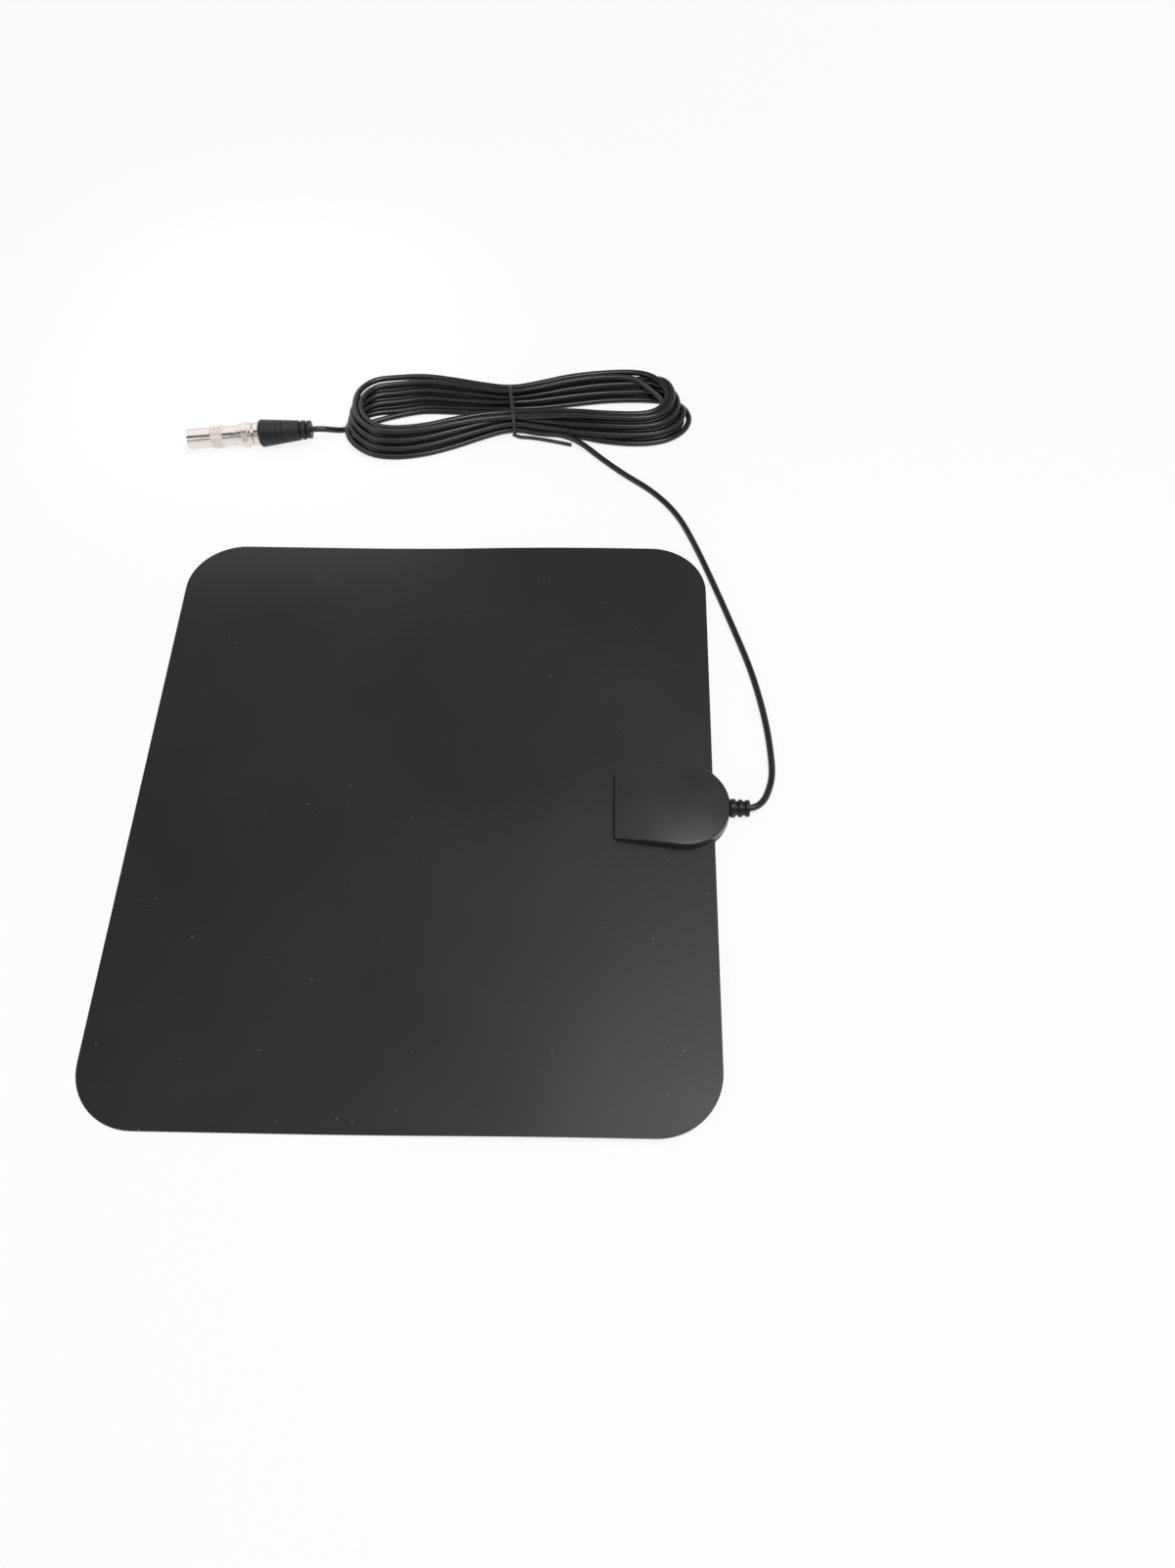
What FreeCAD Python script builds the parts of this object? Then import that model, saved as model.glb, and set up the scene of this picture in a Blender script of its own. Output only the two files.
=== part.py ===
import FreeCAD, Part
import math
import os

# Flat indoor TV antenna: film sheet, feed housing, coaxial lead in a tied hank, screw plug and adapter.
# Millimetres. X runs across the sheet towards the housing, Y along its long side, Z out of its front face.
# The origin is the middle of the antenna's footprint, on the surface that it lies on.

V = FreeCAD.Vector
UP = V(0, 0, 1)

# Sheet
SHEET_WIDTH = 230.0
SHEET_LENGTH = 265.0
SHEET_CORNER = 24.0
BACK_FILM = 0.25
FOIL = 0.1
FOIL_CLEAR = 0.05
FRONT_FILM = 0.25
RISE_RUN = 110.0
RISE_END_GAP = 4.0

# Foil plates
FOIL_MARGIN = 14.0
FOIL_CORNER = 10.0
FOIL_FEED_GAP = 6.0
FOIL_MOUTH = 68.0
FOIL_TAB_WIDTH = 5.0
FOIL_HOUSING_CLEAR = 7.0

# Feed housing
HOUSING_LENGTH = 45.6
HOUSING_OVERHANG = 6.3
HOUSING_END_WIDTH = 30.4
HOUSING_ROUND = 18.7
HOUSING_Y = -1.5
HOUSING_CORNER = 1.6
BASE_DEPTH = 2.7
BASE_FLOOR = 1.2
BASE_EDGE = 0.7
COVER_END_HEIGHT = 3.0
COVER_PEAK_HEIGHT = 5.2
COVER_PEAK_FROM_END = 22.0
COVER_TIP_HEIGHT = 3.2
COVER_CROSS_RADIUS = 170.0
COVER_EDGE = 0.9
HOUSING_WALL = 1.6
HOUSING_ROOF = 1.4
SHEET_EDGE_CLEAR = 0.2

# Posts of the top cover, through the sheet and into sockets of the bottom cover
POST_RADIUS = 1.4
POST_CLEAR = 0.1
SOCKET_WALL = 1.2
POST_END_X = 6.0
POST_END_Y = 11.0
POST_EDGE_X = 8.0
POST_EDGE_Y = 12.0

# Clip tongues and windows round the housing's end
CLIP_ANGLES = (-40.0, -22.0, 22.0, 40.0)
CLIP_WIDTH = 2.4
CLIP_WINDOW_HEIGHT = 0.8
CLIP_WINDOW_LOW = 1.9
CLIP_TONGUE = 0.6
CLIP_CLEAR = 0.1

# Board and its parts
BOARD_LENGTH = 24.0
BOARD_WIDTH = 16.0
BOARD_THICKNESS = 1.0
BOARD_END_GAP = 1.0
RIVET_SHANK = 0.9
RIVET_HEAD = 1.8
RIVET_HEAD_HEIGHT = 0.5
RIVET_CLEAR = 0.1
RIVET_X = 4.0
RIVET_Y = 5.5
CORE_LENGTH = 5.0
CORE_WIDTH = 6.0
CORE_HEIGHT = 2.0
CORE_HOLE = 0.6
CORE_HOLE_PITCH = 3.0
CORE_X = 13.0

# Cable and its stripped end
CABLE_RADIUS = 1.4
FLOOR_CLEAR = 0.05
DIELECTRIC_RADIUS = 0.7
CONDUCTOR_RADIUS = 0.25
CONDUCTOR_REACH = 4.0
BRAID_RADIUS = 0.45
BRAID_OFFSET = 2.2
BOARD_LAP = 0.6
CORE_LIFT = 0.6

# Strain relief
RELIEF_AXIS_Z = 3.8
RELIEF_NECK = 1.9
RELIEF_NECK_CLEAR = 0.05
RELIEF_FLANGE_WIDTH = 6.4
RELIEF_FLANGE_HEIGHT = 3.0
RELIEF_FLANGE = 1.4
RELIEF_FLANGE_GAP = 0.4
RELIEF_RING_RADII = (3.75, 3.55, 3.4)
RELIEF_RING_WIDTHS = (2.1, 1.7, 1.7)
RELIEF_GROOVE_WIDTH = 1.1
RELIEF_GROOVE_RADIUS = 2.85
RELIEF_WINDOW_DEPTH = 0.9
RELIEF_BRIDGE = 3.0
RELIEF_EDGE = 0.45
CABLE_SEAT = 2.0

# Lead from the strain relief to the hank, points chosen along the photographed route
BEND_SHARE = 0.45
FLOOR_Z = CABLE_RADIUS + FLOOR_CLEAR
LEAD_BENDS = (
    (123.7, HOUSING_Y, RELIEF_AXIS_Z),
    (128.0, 2.4, 2.8),
    (130.4, 8.0, 2.0),
    (132.2, 14.6, FLOOR_Z),
    (132.4, 24.0, FLOOR_Z),
    (131.0, 42.0, FLOOR_Z),
    (126.6, 66.0, FLOOR_Z),
    (119.4, 90.0, FLOOR_Z),
    (111.8, 114.0, FLOOR_Z),
    (104.0, 137.0, FLOOR_Z),
    (96.6, 155.0, FLOOR_Z),
    (85.4, 169.0, FLOOR_Z),
    (71.6, 179.6, FLOOR_Z),
    (60.4, 189.6, 1.9),
    (51.4, 199.6, 3.8),
    (43.0, 205.2, 4.6),
)

# Tail from the boot to the hank
TAIL_START = 4.0
TAIL_BENDS = (
    (-68.2, 202.0, 5.3),
    (-63.8, 204.6, 2.4),
    (-58.6, 207.3, FLOOR_Z),
    (-52.6, 210.2, FLOOR_Z),
)

# Hank: plan points at mid height, chosen along the photographed bundles and counted from the tie
TIE_X = 17.5
TIE_Y = 217.5
HANK_TURN = 4.0
HANK_HEIGHT = 10.0
HANK_LEAN = 6.0
HANK_OUTLINE = (
    (0.0, -9.5),
    (15.0, -12.5),
    (37.0, -16.5),
    (54.0, -19.0),
    (71.0, -18.6),
    (80.0, -14.6),
    (85.6, -6.0),
    (83.4, 2.0),
    (74.0, 11.6),
    (57.0, 16.6),
    (38.0, 16.0),
    (18.0, 12.4),
    (0.0, 9.9),
    (-22.0, 15.0),
    (-43.0, 18.2),
    (-58.0, 17.4),
    (-72.0, 9.6),
    (-79.4, -3.0),
    (-74.0, -15.0),
    (-58.0, -23.0),
    (-41.0, -21.6),
    (-22.0, -15.6),
)
HANK_LEFT_HOLE = (
    (-22.0, -2.5),
    (-40.0, 5.2),
    (-56.0, 3.0),
    (-68.0, -5.0),
    (-57.0, -12.2),
    (-40.0, -9.6),
)
HANK_RIGHT_HOLE = (
    (24.0, 0.8),
    (38.0, -5.0),
    (54.0, -6.2),
    (69.0, 0.6),
    (55.0, 8.0),
    (38.0, 7.4),
)
TIE_WIRE = 0.9
TIE_CORE_HALF_HEIGHT = 3.2
TIE_CORE_HALF_WIDTH = 11.0
TIE_CLEAR = 0.1
TIE_TAIL_RADIUS = 0.6
TIE_TAIL_Z = TIE_TAIL_RADIUS + FLOOR_CLEAR
TIE_TAIL_BENDS = (
    (18.5, 202.8, 1.0),
    (26.0, 203.2, TIE_TAIL_Z),
    (35.4, 201.5, TIE_TAIL_Z),
    (46.6, 198.6, TIE_TAIL_Z),
)

# Plug, measured along its own axis from the boot's small end
PLUG_X = -76.8
PLUG_Y = 199.8
PLUG_YAW = 184.8
BOOT_LENGTH = 24.2
BOOT_END_RADIUS = 4.1
BOOT_CONE_START = 6.6
BOOT_CONE_RADIUS = 4.7
BOOT_RADIUS = 6.35
BOOT_LAND = 1.5
BOOT_EDGE = 0.5
BOOT_SLOTS = (1.5, 4.4)
BOOT_SLOT_WIDTH = 1.1
BOOT_SLOT_RADIUS = 2.9
BOOT_BRIDGE = 1.8
BOOT_GROOVES = (13.0, 15.6)
BOOT_GROOVE_WIDTH = 0.6
BOOT_GROOVE_DEPTH = 0.3
FERRULE_START = 10.0
FERRULE_RADIUS = 3.9
RING_LENGTH = 3.1
RING_RADIUS = 5.5
RING_EDGE = 0.4
NECK_RADIUS = 3.3
NUT_PLAY = 0.2
NUT_LIP = 1.2
NUT_LENGTH = 7.1
NUT_FLATS = 11.0
NUT_CORNERS = 11.9
NUT_COLLAR = 5.35
NUT_HEX_LENGTH = 2.8
NUT_EDGE = 0.35
FLANGE_RADIUS = 4.4
FLANGE_THICKNESS = 0.9
COAX_RADIUS = 1.95
COAX_CLEAR = 0.02
WIRE_RADIUS = 0.4
WIRE_REACH = 6.5
WIRE_TAIL = 8.0

# Adapter
SEAT_GAP = 0.05
THREAD_RADIUS = 4.7
THREAD_CLEAR = 0.15
THREAD_LENGTH = 6.2
BODY_RADIUS = 4.75
BODY_LENGTH = 5.6
GRIP_LENGTH = 5.7
GRIP_RADIUS = 5.1
GRIP_EDGE = 0.3
SLEEVE_LENGTH = 11.2
SLEEVE_BORE = 4.1
SLEEVE_EDGE = 0.3
SOCKET_BORE = 3.6
SOCKET_DEPTH = 5.7
MID_BORE = 2.4
INSULATOR_RECESS = 0.35
FRONT_INSULATOR = 2.2
FRONT_INSULATOR_INSET = 1.5
PIN_RADIUS = 1.15
PIN_RECESS = 1.4
PIN_START_RECESS = 1.2
PIN_BORE = 0.5
PIN_BORE_DEPTH = 6.5
PIN_NOSE = 0.9

# Places that follow from the sizes
BACK_TOP = BACK_FILM + FOIL + FOIL_CLEAR
SHEET_STACK = BACK_TOP + FRONT_FILM
RELIEF_GROOVES = RELIEF_GROOVE_WIDTH * (len(RELIEF_RING_WIDTHS) - 1)
RELIEF_REACH = sum(RELIEF_RING_WIDTHS) + RELIEF_GROOVES
SHEET_X = -(HOUSING_OVERHANG + RELIEF_REACH) / 2
SHEET_LEFT_X = SHEET_X - SHEET_WIDTH / 2
SHEET_EDGE_X = SHEET_X + SHEET_WIDTH / 2
TOP_Z = BASE_DEPTH + SHEET_STACK
TIP_X = SHEET_EDGE_X + HOUSING_OVERHANG
END_X = TIP_X - HOUSING_LENGTH
ROUND_X = TIP_X - HOUSING_ROUND
CLIP_INSIDE = HOUSING_ROUND - HOUSING_WALL - CLIP_CLEAR
RISE_END = END_X - RISE_END_GAP
RISE_START = RISE_END - RISE_RUN
RELIEF_END = TIP_X + RELIEF_REACH
RELIEF_INNER = TIP_X - HOUSING_WALL - RELIEF_FLANGE_GAP - RELIEF_FLANGE
TIE_MIDDLE_Z = TIE_CORE_HALF_HEIGHT + TIE_CLEAR + 2 * TIE_WIRE + FLOOR_CLEAR
BOARD_X = END_X + HOUSING_WALL + BOARD_END_GAP
BOARD_TOP = TOP_Z + BOARD_THICKNESS
FEED_X = BOARD_X + RIVET_X
TALL = 40.0
WIDE = 100.0
NEAR = 0.01


def box(low, high):
    """Box between two corners."""
    size = V(*high) - V(*low)
    return Part.makeBox(size.x, size.y, size.z, V(*low))


def plate(points, low, high):
    """Upright prism over a closed plan outline of straight sides."""
    wire = Part.makePolygon([V(x, y, low) for x, y in points] + [V(*points[0], low)])
    return Part.Face(wire).extrude(UP * (high - low))


def upright(radius, x, y, low, high):
    """Upright cylinder."""
    return Part.makeCylinder(radius, high - low, V(x, y, low))


def turned(points):
    """Solid of revolution about the X axis from (along, radius) points."""
    wire = Part.makePolygon([V(s, r, 0) for s, r in points] + [V(*points[0], 0)])
    return Part.Face(wire).revolve(V(0, 0, 0), V(1, 0, 0), 360)


def rod(radius, start, end):
    """Cylinder along the X axis."""
    return Part.makeCylinder(radius, end - start, V(start, 0, 0), V(1, 0, 0))


def straight(radius, start, end):
    """Round bar between two points."""
    return Part.makeCylinder(radius, (end - start).Length, start, end - start)


def upright_edges(shape):
    """Straight edges of a prism that stand upright."""
    return [edge for edge in shape.Edges if abs(edge.tangentAt(edge.FirstParameter).z) > 1 - NEAR]


def save(shape, node):
    """Write one piece and print its size."""
    clean = shape.removeSplitter()
    clean.exportStep("parts/" + node + ".step")
    print(node, "solids", len(clean.Solids), "valid", clean.isValid(), "mm3", round(clean.Volume, 2))


# Cable tubes: straight runs joined by tangent arcs

def cable_path(points):
    """Path through the points, with each corner rounded as far as its shorter run allows."""
    edges = []
    radii = []
    last = points[0]
    for before, corner, after in zip(points, points[1:], points[2:]):
        back = before - corner
        ahead = after - corner
        setback = BEND_SHARE * min(back.Length, ahead.Length)
        half_turn = (math.pi - back.getAngle(ahead)) / 2
        radius = setback / math.tan(half_turn)
        back.normalize()
        ahead.normalize()
        inward = back + ahead
        inward.normalize()
        centre = corner + inward * (radius / math.cos(half_turn))
        arc_start = corner + back * setback
        arc_end = corner + ahead * setback
        edges.append(Part.LineSegment(last, arc_start).toShape())
        edges.append(Part.Arc(arc_start, centre - inward * radius, arc_end).toShape())
        radii.append(round(radius, 1))
        last = arc_end
    edges.append(Part.LineSegment(last, points[-1]).toShape())
    return Part.Wire(edges), radii


def tube(points, radius, node):
    """Round tube along a cable path."""
    path, radii = cable_path(points)
    ring = Part.Wire(Part.makeCircle(radius, points[0], points[1] - points[0]))
    solid = path.makePipeShell([ring], True, False)
    section_times_length = math.pi * radius ** 2 * path.Length
    print(node, "length", round(path.Length, 1), "radii", radii)
    print(node, "volume against section times length", round(solid.Volume / section_times_length, 4))
    return solid


# Sheet: flat on the surface, then a gentle rise to the housing

def sheet_line(offset):
    """Edges of the line that lies offset above the sheet's underside, from left to right."""
    half_run = RISE_RUN / 2
    half_rise = BASE_DEPTH / 2
    bend = (half_run ** 2 + half_rise ** 2) / (2 * half_rise)
    angle = math.asin(half_run / bend)
    lower = bend - offset
    upper = bend + offset
    first = V(SHEET_LEFT_X, 0, offset)
    foot = V(RISE_START, 0, offset)
    foot_mid = V(RISE_START + lower * math.sin(angle / 2), 0, bend - lower * math.cos(angle / 2))
    middle = V(RISE_START + lower * math.sin(angle), 0, bend - lower * math.cos(angle))
    crest_centre = BASE_DEPTH - bend
    crest_mid = V(RISE_END - upper * math.sin(angle / 2), 0, crest_centre + upper * math.cos(angle / 2))
    crest = V(RISE_END, 0, BASE_DEPTH + offset)
    last = V(SHEET_EDGE_X, 0, BASE_DEPTH + offset)
    return [
        Part.LineSegment(first, foot).toShape(),
        Part.Arc(foot, foot_mid, middle).toShape(),
        Part.Arc(middle, crest_mid, crest).toShape(),
        Part.LineSegment(crest, last).toShape(),
    ]


def sheet_outline():
    """Tall prism over the sheet's rounded rectangle."""
    slab = box((SHEET_LEFT_X, -SHEET_LENGTH / 2, -TALL), (SHEET_EDGE_X, SHEET_LENGTH / 2, TALL))
    return slab.makeFillet(SHEET_CORNER, upright_edges(slab))


def sheet_layer(low, high):
    """Layer of the sheet between two heights above its underside."""
    below = sheet_line(low)
    above = sheet_line(high)
    right = Part.makeLine(below[-1].Vertexes[-1].Point, above[-1].Vertexes[-1].Point)
    left = Part.makeLine(above[0].Vertexes[0].Point, below[0].Vertexes[0].Point)
    wire = Part.Wire(Part.__sortEdges__(below + [right] + above + [left]))
    layer = Part.Face(wire).extrude(V(0, SHEET_LENGTH, 0))
    layer.translate(V(0, -SHEET_LENGTH / 2, 0))
    return layer.common(sheet_outline())


def foil_plan(side):
    """Tall prism over one plate of the tapered-slot pair; side 1 is the far plate, -1 the near one."""
    outer = side * (SHEET_LENGTH / 2 - FOIL_MARGIN)
    left = SHEET_LEFT_X + FOIL_MARGIN
    right = SHEET_EDGE_X - FOIL_MARGIN
    slot = HOUSING_Y + side * FOIL_FEED_GAP / 2
    tab = slot + side * FOIL_TAB_WIDTH
    shoulder = HOUSING_Y + side * (HOUSING_ROUND + FOIL_HOUSING_CLEAR)
    neck = END_X - FOIL_HOUSING_CLEAR
    tab_end = FEED_X + FOIL_TAB_WIDTH / 2
    points = [
        (tab_end, slot),
        (tab_end, tab),
        (neck, tab),
        (neck, shoulder),
        (right, shoulder),
        (right, outer),
        (left, outer),
        (left, HOUSING_Y + side * FOIL_MOUTH / 2),
        (neck, slot),
    ]
    prism = plate(points, -TALL, TALL)
    corners = [edge for edge in upright_edges(prism) if abs(edge.Vertexes[0].Point.y - outer) < NEAR]
    return prism.makeFillet(FOIL_CORNER, corners)


def post_places():
    """Centres of the top cover's posts in plan."""
    places = []
    for side in (-1, 1):
        places.append((END_X + POST_END_X, HOUSING_Y + side * POST_END_Y))
        places.append((SHEET_EDGE_X - POST_EDGE_X, HOUSING_Y + side * POST_EDGE_Y))
    return places


def rivet_places():
    """Centres of the feed rivets in plan."""
    return [(FEED_X, HOUSING_Y + side * RIVET_Y) for side in (-1, 1)]


def clip_block(inner, outer, width, low, high, angle):
    """Small block at a radius of the housing's round end, turned to an angle."""
    block = box((inner, -width / 2, low), (outer, width / 2, high))
    block.rotate(V(0, 0, 0), UP, angle)
    block.translate(V(ROUND_X, HOUSING_Y, 0))
    return block


def sheet_holes():
    """Holes through the sheet for the posts and the rivets, and notches for the clips."""
    posts = [upright(POST_RADIUS + POST_CLEAR, x, y, 0, TALL) for x, y in post_places()]
    rivets = [upright(RIVET_SHANK + RIVET_CLEAR, x, y, 0, TALL) for x, y in rivet_places()]
    inner = CLIP_INSIDE - CLIP_TONGUE - CLIP_CLEAR
    notches = [clip_block(inner, HOUSING_ROUND, CLIP_WIDTH, 0, TALL, angle) for angle in CLIP_ANGLES]
    return Part.makeCompound(posts + rivets + notches)


def build_sheet():
    """Two films with the foil plates between them."""
    holes = sheet_holes()
    far_plan, near_plan = foil_plan(1), foil_plan(-1)
    pocket = sheet_layer(BACK_FILM, BACK_TOP)
    back = sheet_layer(0, BACK_TOP).cut(pocket.common(far_plan)).cut(pocket.common(near_plan))
    foil = sheet_layer(BACK_FILM, BACK_FILM + FOIL)
    save(back.cut(holes), "back_film")
    save(foil.common(far_plan).cut(holes), "far_foil_plate")
    save(foil.common(near_plan).cut(holes), "near_foil_plate")
    save(sheet_layer(BACK_TOP, SHEET_STACK).cut(holes), "front_film")


# Feed housing

def housing_wire(low):
    """Plan outline: straight end, sides that spread to a round end."""
    half = HOUSING_END_WIDTH / 2
    reach = math.hypot(END_X - ROUND_X, half)
    touch = math.atan2(half, END_X - ROUND_X) - math.acos(HOUSING_ROUND / reach)
    end_near = V(END_X, HOUSING_Y - half, low)
    end_far = V(END_X, HOUSING_Y + half, low)
    touch_x = ROUND_X + HOUSING_ROUND * math.cos(touch)
    touch_far = V(touch_x, HOUSING_Y + HOUSING_ROUND * math.sin(touch), low)
    touch_near = V(touch_x, HOUSING_Y - HOUSING_ROUND * math.sin(touch), low)
    tip = V(TIP_X, HOUSING_Y, low)
    return Part.Wire([
        Part.LineSegment(end_far, end_near).toShape(),
        Part.LineSegment(end_near, touch_near).toShape(),
        Part.Arc(touch_near, tip, touch_far).toShape(),
        Part.LineSegment(touch_far, end_far).toShape(),
    ])


def housing_prism(low, high):
    """Outside of the housing between two heights, with its two corners rounded."""
    prism = Part.Face(housing_wire(low)).extrude(UP * (high - low))
    corners = [edge for edge in upright_edges(prism) if edge.Vertexes[0].Point.x < END_X + NEAR]
    return prism.makeFillet(HOUSING_CORNER, corners)


def housing_cavity(low, high):
    """Inside of the housing between two heights."""
    face = Part.Face(housing_wire(low)).makeOffset2D(-HOUSING_WALL)
    return face.extrude(UP * (high - low))


def crown(drop):
    """Everything below the crowned roof line, lowered by drop."""
    margin = HOUSING_CORNER
    roof = Part.Circle(
        V(END_X, HOUSING_Y, TOP_Z + COVER_END_HEIGHT),
        V(END_X + COVER_PEAK_FROM_END, HOUSING_Y, TOP_Z + COVER_PEAK_HEIGHT),
        V(TIP_X, HOUSING_Y, TOP_Z + COVER_TIP_HEIGHT),
    )
    left, right = END_X - margin, TIP_X + margin

    def roof_point(x):
        """Point of the roof line at x."""
        rise = math.sqrt(roof.Radius ** 2 - (x - roof.Center.x) ** 2)
        return V(x, HOUSING_Y, roof.Center.z + rise)

    start, end = roof_point(left), roof_point(right)
    low_left, low_right = V(left, HOUSING_Y, 0), V(right, HOUSING_Y, 0)
    wire = Part.Wire([
        Part.Arc(start, roof_point((left + right) / 2), end).toShape(),
        Part.LineSegment(end, low_right).toShape(),
        Part.LineSegment(low_right, low_left).toShape(),
        Part.LineSegment(low_left, start).toShape(),
    ])
    axis_point = V(0, HOUSING_Y, TOP_Z + COVER_PEAK_HEIGHT - COVER_CROSS_RADIUS)
    swing = 2 * math.degrees(math.asin(HOUSING_ROUND / (COVER_CROSS_RADIUS - TOP_Z - COVER_PEAK_HEIGHT)))
    face = Part.Face(wire)
    face.rotate(axis_point, V(1, 0, 0), -swing / 2)
    solid = face.revolve(axis_point, V(1, 0, 0), swing)
    solid.translate(UP * -drop)
    return solid


def relief_hole():
    """Opening in the housing's end for the strain relief's neck."""
    hole = rod(RELIEF_NECK + RELIEF_NECK_CLEAR, ROUND_X, TIP_X + HOUSING_WALL)
    hole.translate(V(0, HOUSING_Y, RELIEF_AXIS_Z))
    keep = box((TIP_X - 2 * HOUSING_WALL, -WIDE, 0), (TIP_X + HOUSING_WALL, WIDE, TALL))
    return hole.common(keep)


def build_top_cover():
    """Crowned cover with posts and clip tongues."""
    shell = housing_prism(TOP_Z, TALL).common(crown(0))
    rim = [
        edge for edge in shell.Edges
        if min(vertex.Point.z for vertex in edge.Vertexes) > TOP_Z + COVER_EDGE
    ]
    shell = shell.makeFillet(COVER_EDGE, rim)
    shell = shell.cut(housing_cavity(TOP_Z, TALL).common(crown(HOUSING_ROOF)))
    under_roof = housing_prism(0, TALL).common(crown(HOUSING_ROOF / 2))
    for x, y in post_places():
        shell = shell.fuse(upright(POST_RADIUS, x, y, BASE_FLOOR + POST_CLEAR, TALL).common(under_roof))
    inner = CLIP_INSIDE - CLIP_TONGUE
    outer = CLIP_INSIDE + HOUSING_WALL / 2
    low = CLIP_WINDOW_LOW + CLIP_CLEAR
    high = CLIP_WINDOW_LOW + CLIP_WINDOW_HEIGHT - CLIP_CLEAR
    width = CLIP_WIDTH - 2 * CLIP_CLEAR
    for angle in CLIP_ANGLES:
        shell = shell.fuse(clip_block(inner, CLIP_INSIDE, width, low, TOP_Z + CLIP_TONGUE, angle))
        shell = shell.fuse(clip_block(inner, outer, width, TOP_Z, TOP_Z + CLIP_TONGUE, angle))
        shell = shell.fuse(clip_block(inner, outer, width, low, high, angle))
    save(shell.cut(relief_hole()), "housing_top_cover")


def build_bottom_cover():
    """Shallow lower shell with sockets and clip windows."""
    shell = housing_prism(0, TOP_Z)
    sole = [edge for edge in shell.Edges if max(vertex.Point.z for vertex in edge.Vertexes) < NEAR]
    shell = shell.makeFillet(BASE_EDGE, sole)
    bay = box((END_X - WIDE, -WIDE, BASE_DEPTH), (SHEET_EDGE_X + SHEET_EDGE_CLEAR, WIDE, TALL))
    shell = shell.cut(bay).cut(housing_cavity(BASE_FLOOR, TALL))
    for x, y in post_places():
        socket = upright(POST_RADIUS + POST_CLEAR + SOCKET_WALL, x, y, BASE_FLOOR, BASE_DEPTH)
        shell = shell.fuse(socket.common(housing_prism(0, TALL)))
    for x, y in post_places():
        shell = shell.cut(upright(POST_RADIUS + POST_CLEAR, x, y, BASE_FLOOR, TALL))
    high = CLIP_WINDOW_LOW + CLIP_WINDOW_HEIGHT
    for angle in CLIP_ANGLES:
        window = clip_block(
            CLIP_INSIDE, HOUSING_ROUND + HOUSING_WALL, CLIP_WIDTH, CLIP_WINDOW_LOW, high, angle)
        shell = shell.cut(window)
    save(shell.cut(relief_hole()), "housing_bottom_cover")


def build_board():
    """Matching board, its ferrite core and the rivets that reach the foil."""
    board = box(
        (BOARD_X, HOUSING_Y - BOARD_WIDTH / 2, TOP_Z),
        (BOARD_X + BOARD_LENGTH, HOUSING_Y + BOARD_WIDTH / 2, BOARD_TOP))
    rivets = []
    for x, y in rivet_places():
        board = board.cut(upright(RIVET_SHANK + RIVET_CLEAR, x, y, 0, TALL))
        shank = upright(RIVET_SHANK, x, y, BASE_DEPTH - RIVET_HEAD_HEIGHT, BOARD_TOP + RIVET_HEAD_HEIGHT)
        foot = upright(RIVET_HEAD, x, y, BASE_DEPTH - RIVET_HEAD_HEIGHT, BASE_DEPTH)
        head = upright(RIVET_HEAD, x, y, BOARD_TOP, BOARD_TOP + RIVET_HEAD_HEIGHT)
        rivets.append(shank.fuse(foot).fuse(head))
    save(board, "matching_board")
    save(Part.makeCompound(rivets), "feed_rivets")
    core = box(
        (BOARD_X + CORE_X, HOUSING_Y - CORE_WIDTH / 2, BOARD_TOP),
        (BOARD_X + CORE_X + CORE_LENGTH, HOUSING_Y + CORE_WIDTH / 2, BOARD_TOP + CORE_HEIGHT))
    for side in (-1, 1):
        hole = rod(CORE_HOLE, BOARD_X, BOARD_X + BOARD_LENGTH)
        hole.translate(V(0, HOUSING_Y + side * CORE_HOLE_PITCH / 2, BOARD_TOP + CORE_HEIGHT / 2))
        core = core.cut(hole)
    save(core, "balun_core")


# Strain relief and the stripped end of the lead

def build_strain_relief():
    """Flange, neck and ringed sleeve with flex windows."""
    sleeve = rod(RELIEF_NECK, RELIEF_INNER, TIP_X)
    at = TIP_X
    last = len(RELIEF_RING_WIDTHS) - 1
    for number, (radius, width) in enumerate(zip(RELIEF_RING_RADII, RELIEF_RING_WIDTHS)):
        ring = rod(radius, at, at + width)
        ring = ring.makeFillet(RELIEF_EDGE, [edge for edge in ring.Edges if edge.Closed])
        sleeve = sleeve.fuse(ring)
        at += width
        if number < last:
            end = at + RELIEF_GROOVE_WIDTH
            sleeve = sleeve.fuse(rod(RELIEF_GROOVE_RADIUS, at - RELIEF_EDGE, end + RELIEF_EDGE))
            window = rod(RELIEF_GROOVE_RADIUS, at, end)
            window = window.cut(rod(RELIEF_GROOVE_RADIUS - RELIEF_WINDOW_DEPTH, at, end))
            bridge = box((at, -WIDE, -RELIEF_BRIDGE / 2), (end, WIDE, RELIEF_BRIDGE / 2))
            sleeve = sleeve.cut(window.cut(bridge))
            at = end
    sleeve = sleeve.cut(rod(CABLE_RADIUS, RELIEF_END - CABLE_SEAT, RELIEF_END))
    sleeve.translate(V(0, HOUSING_Y, RELIEF_AXIS_Z))
    flange_half = V(0, RELIEF_FLANGE_WIDTH / 2, RELIEF_FLANGE_HEIGHT / 2)
    flange_middle = V(RELIEF_INNER, HOUSING_Y, RELIEF_AXIS_Z)
    flange = box(flange_middle - flange_half, flange_middle + flange_half + V(RELIEF_FLANGE, 0, 0))
    save(sleeve.fuse(flange), "strain_relief")


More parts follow.
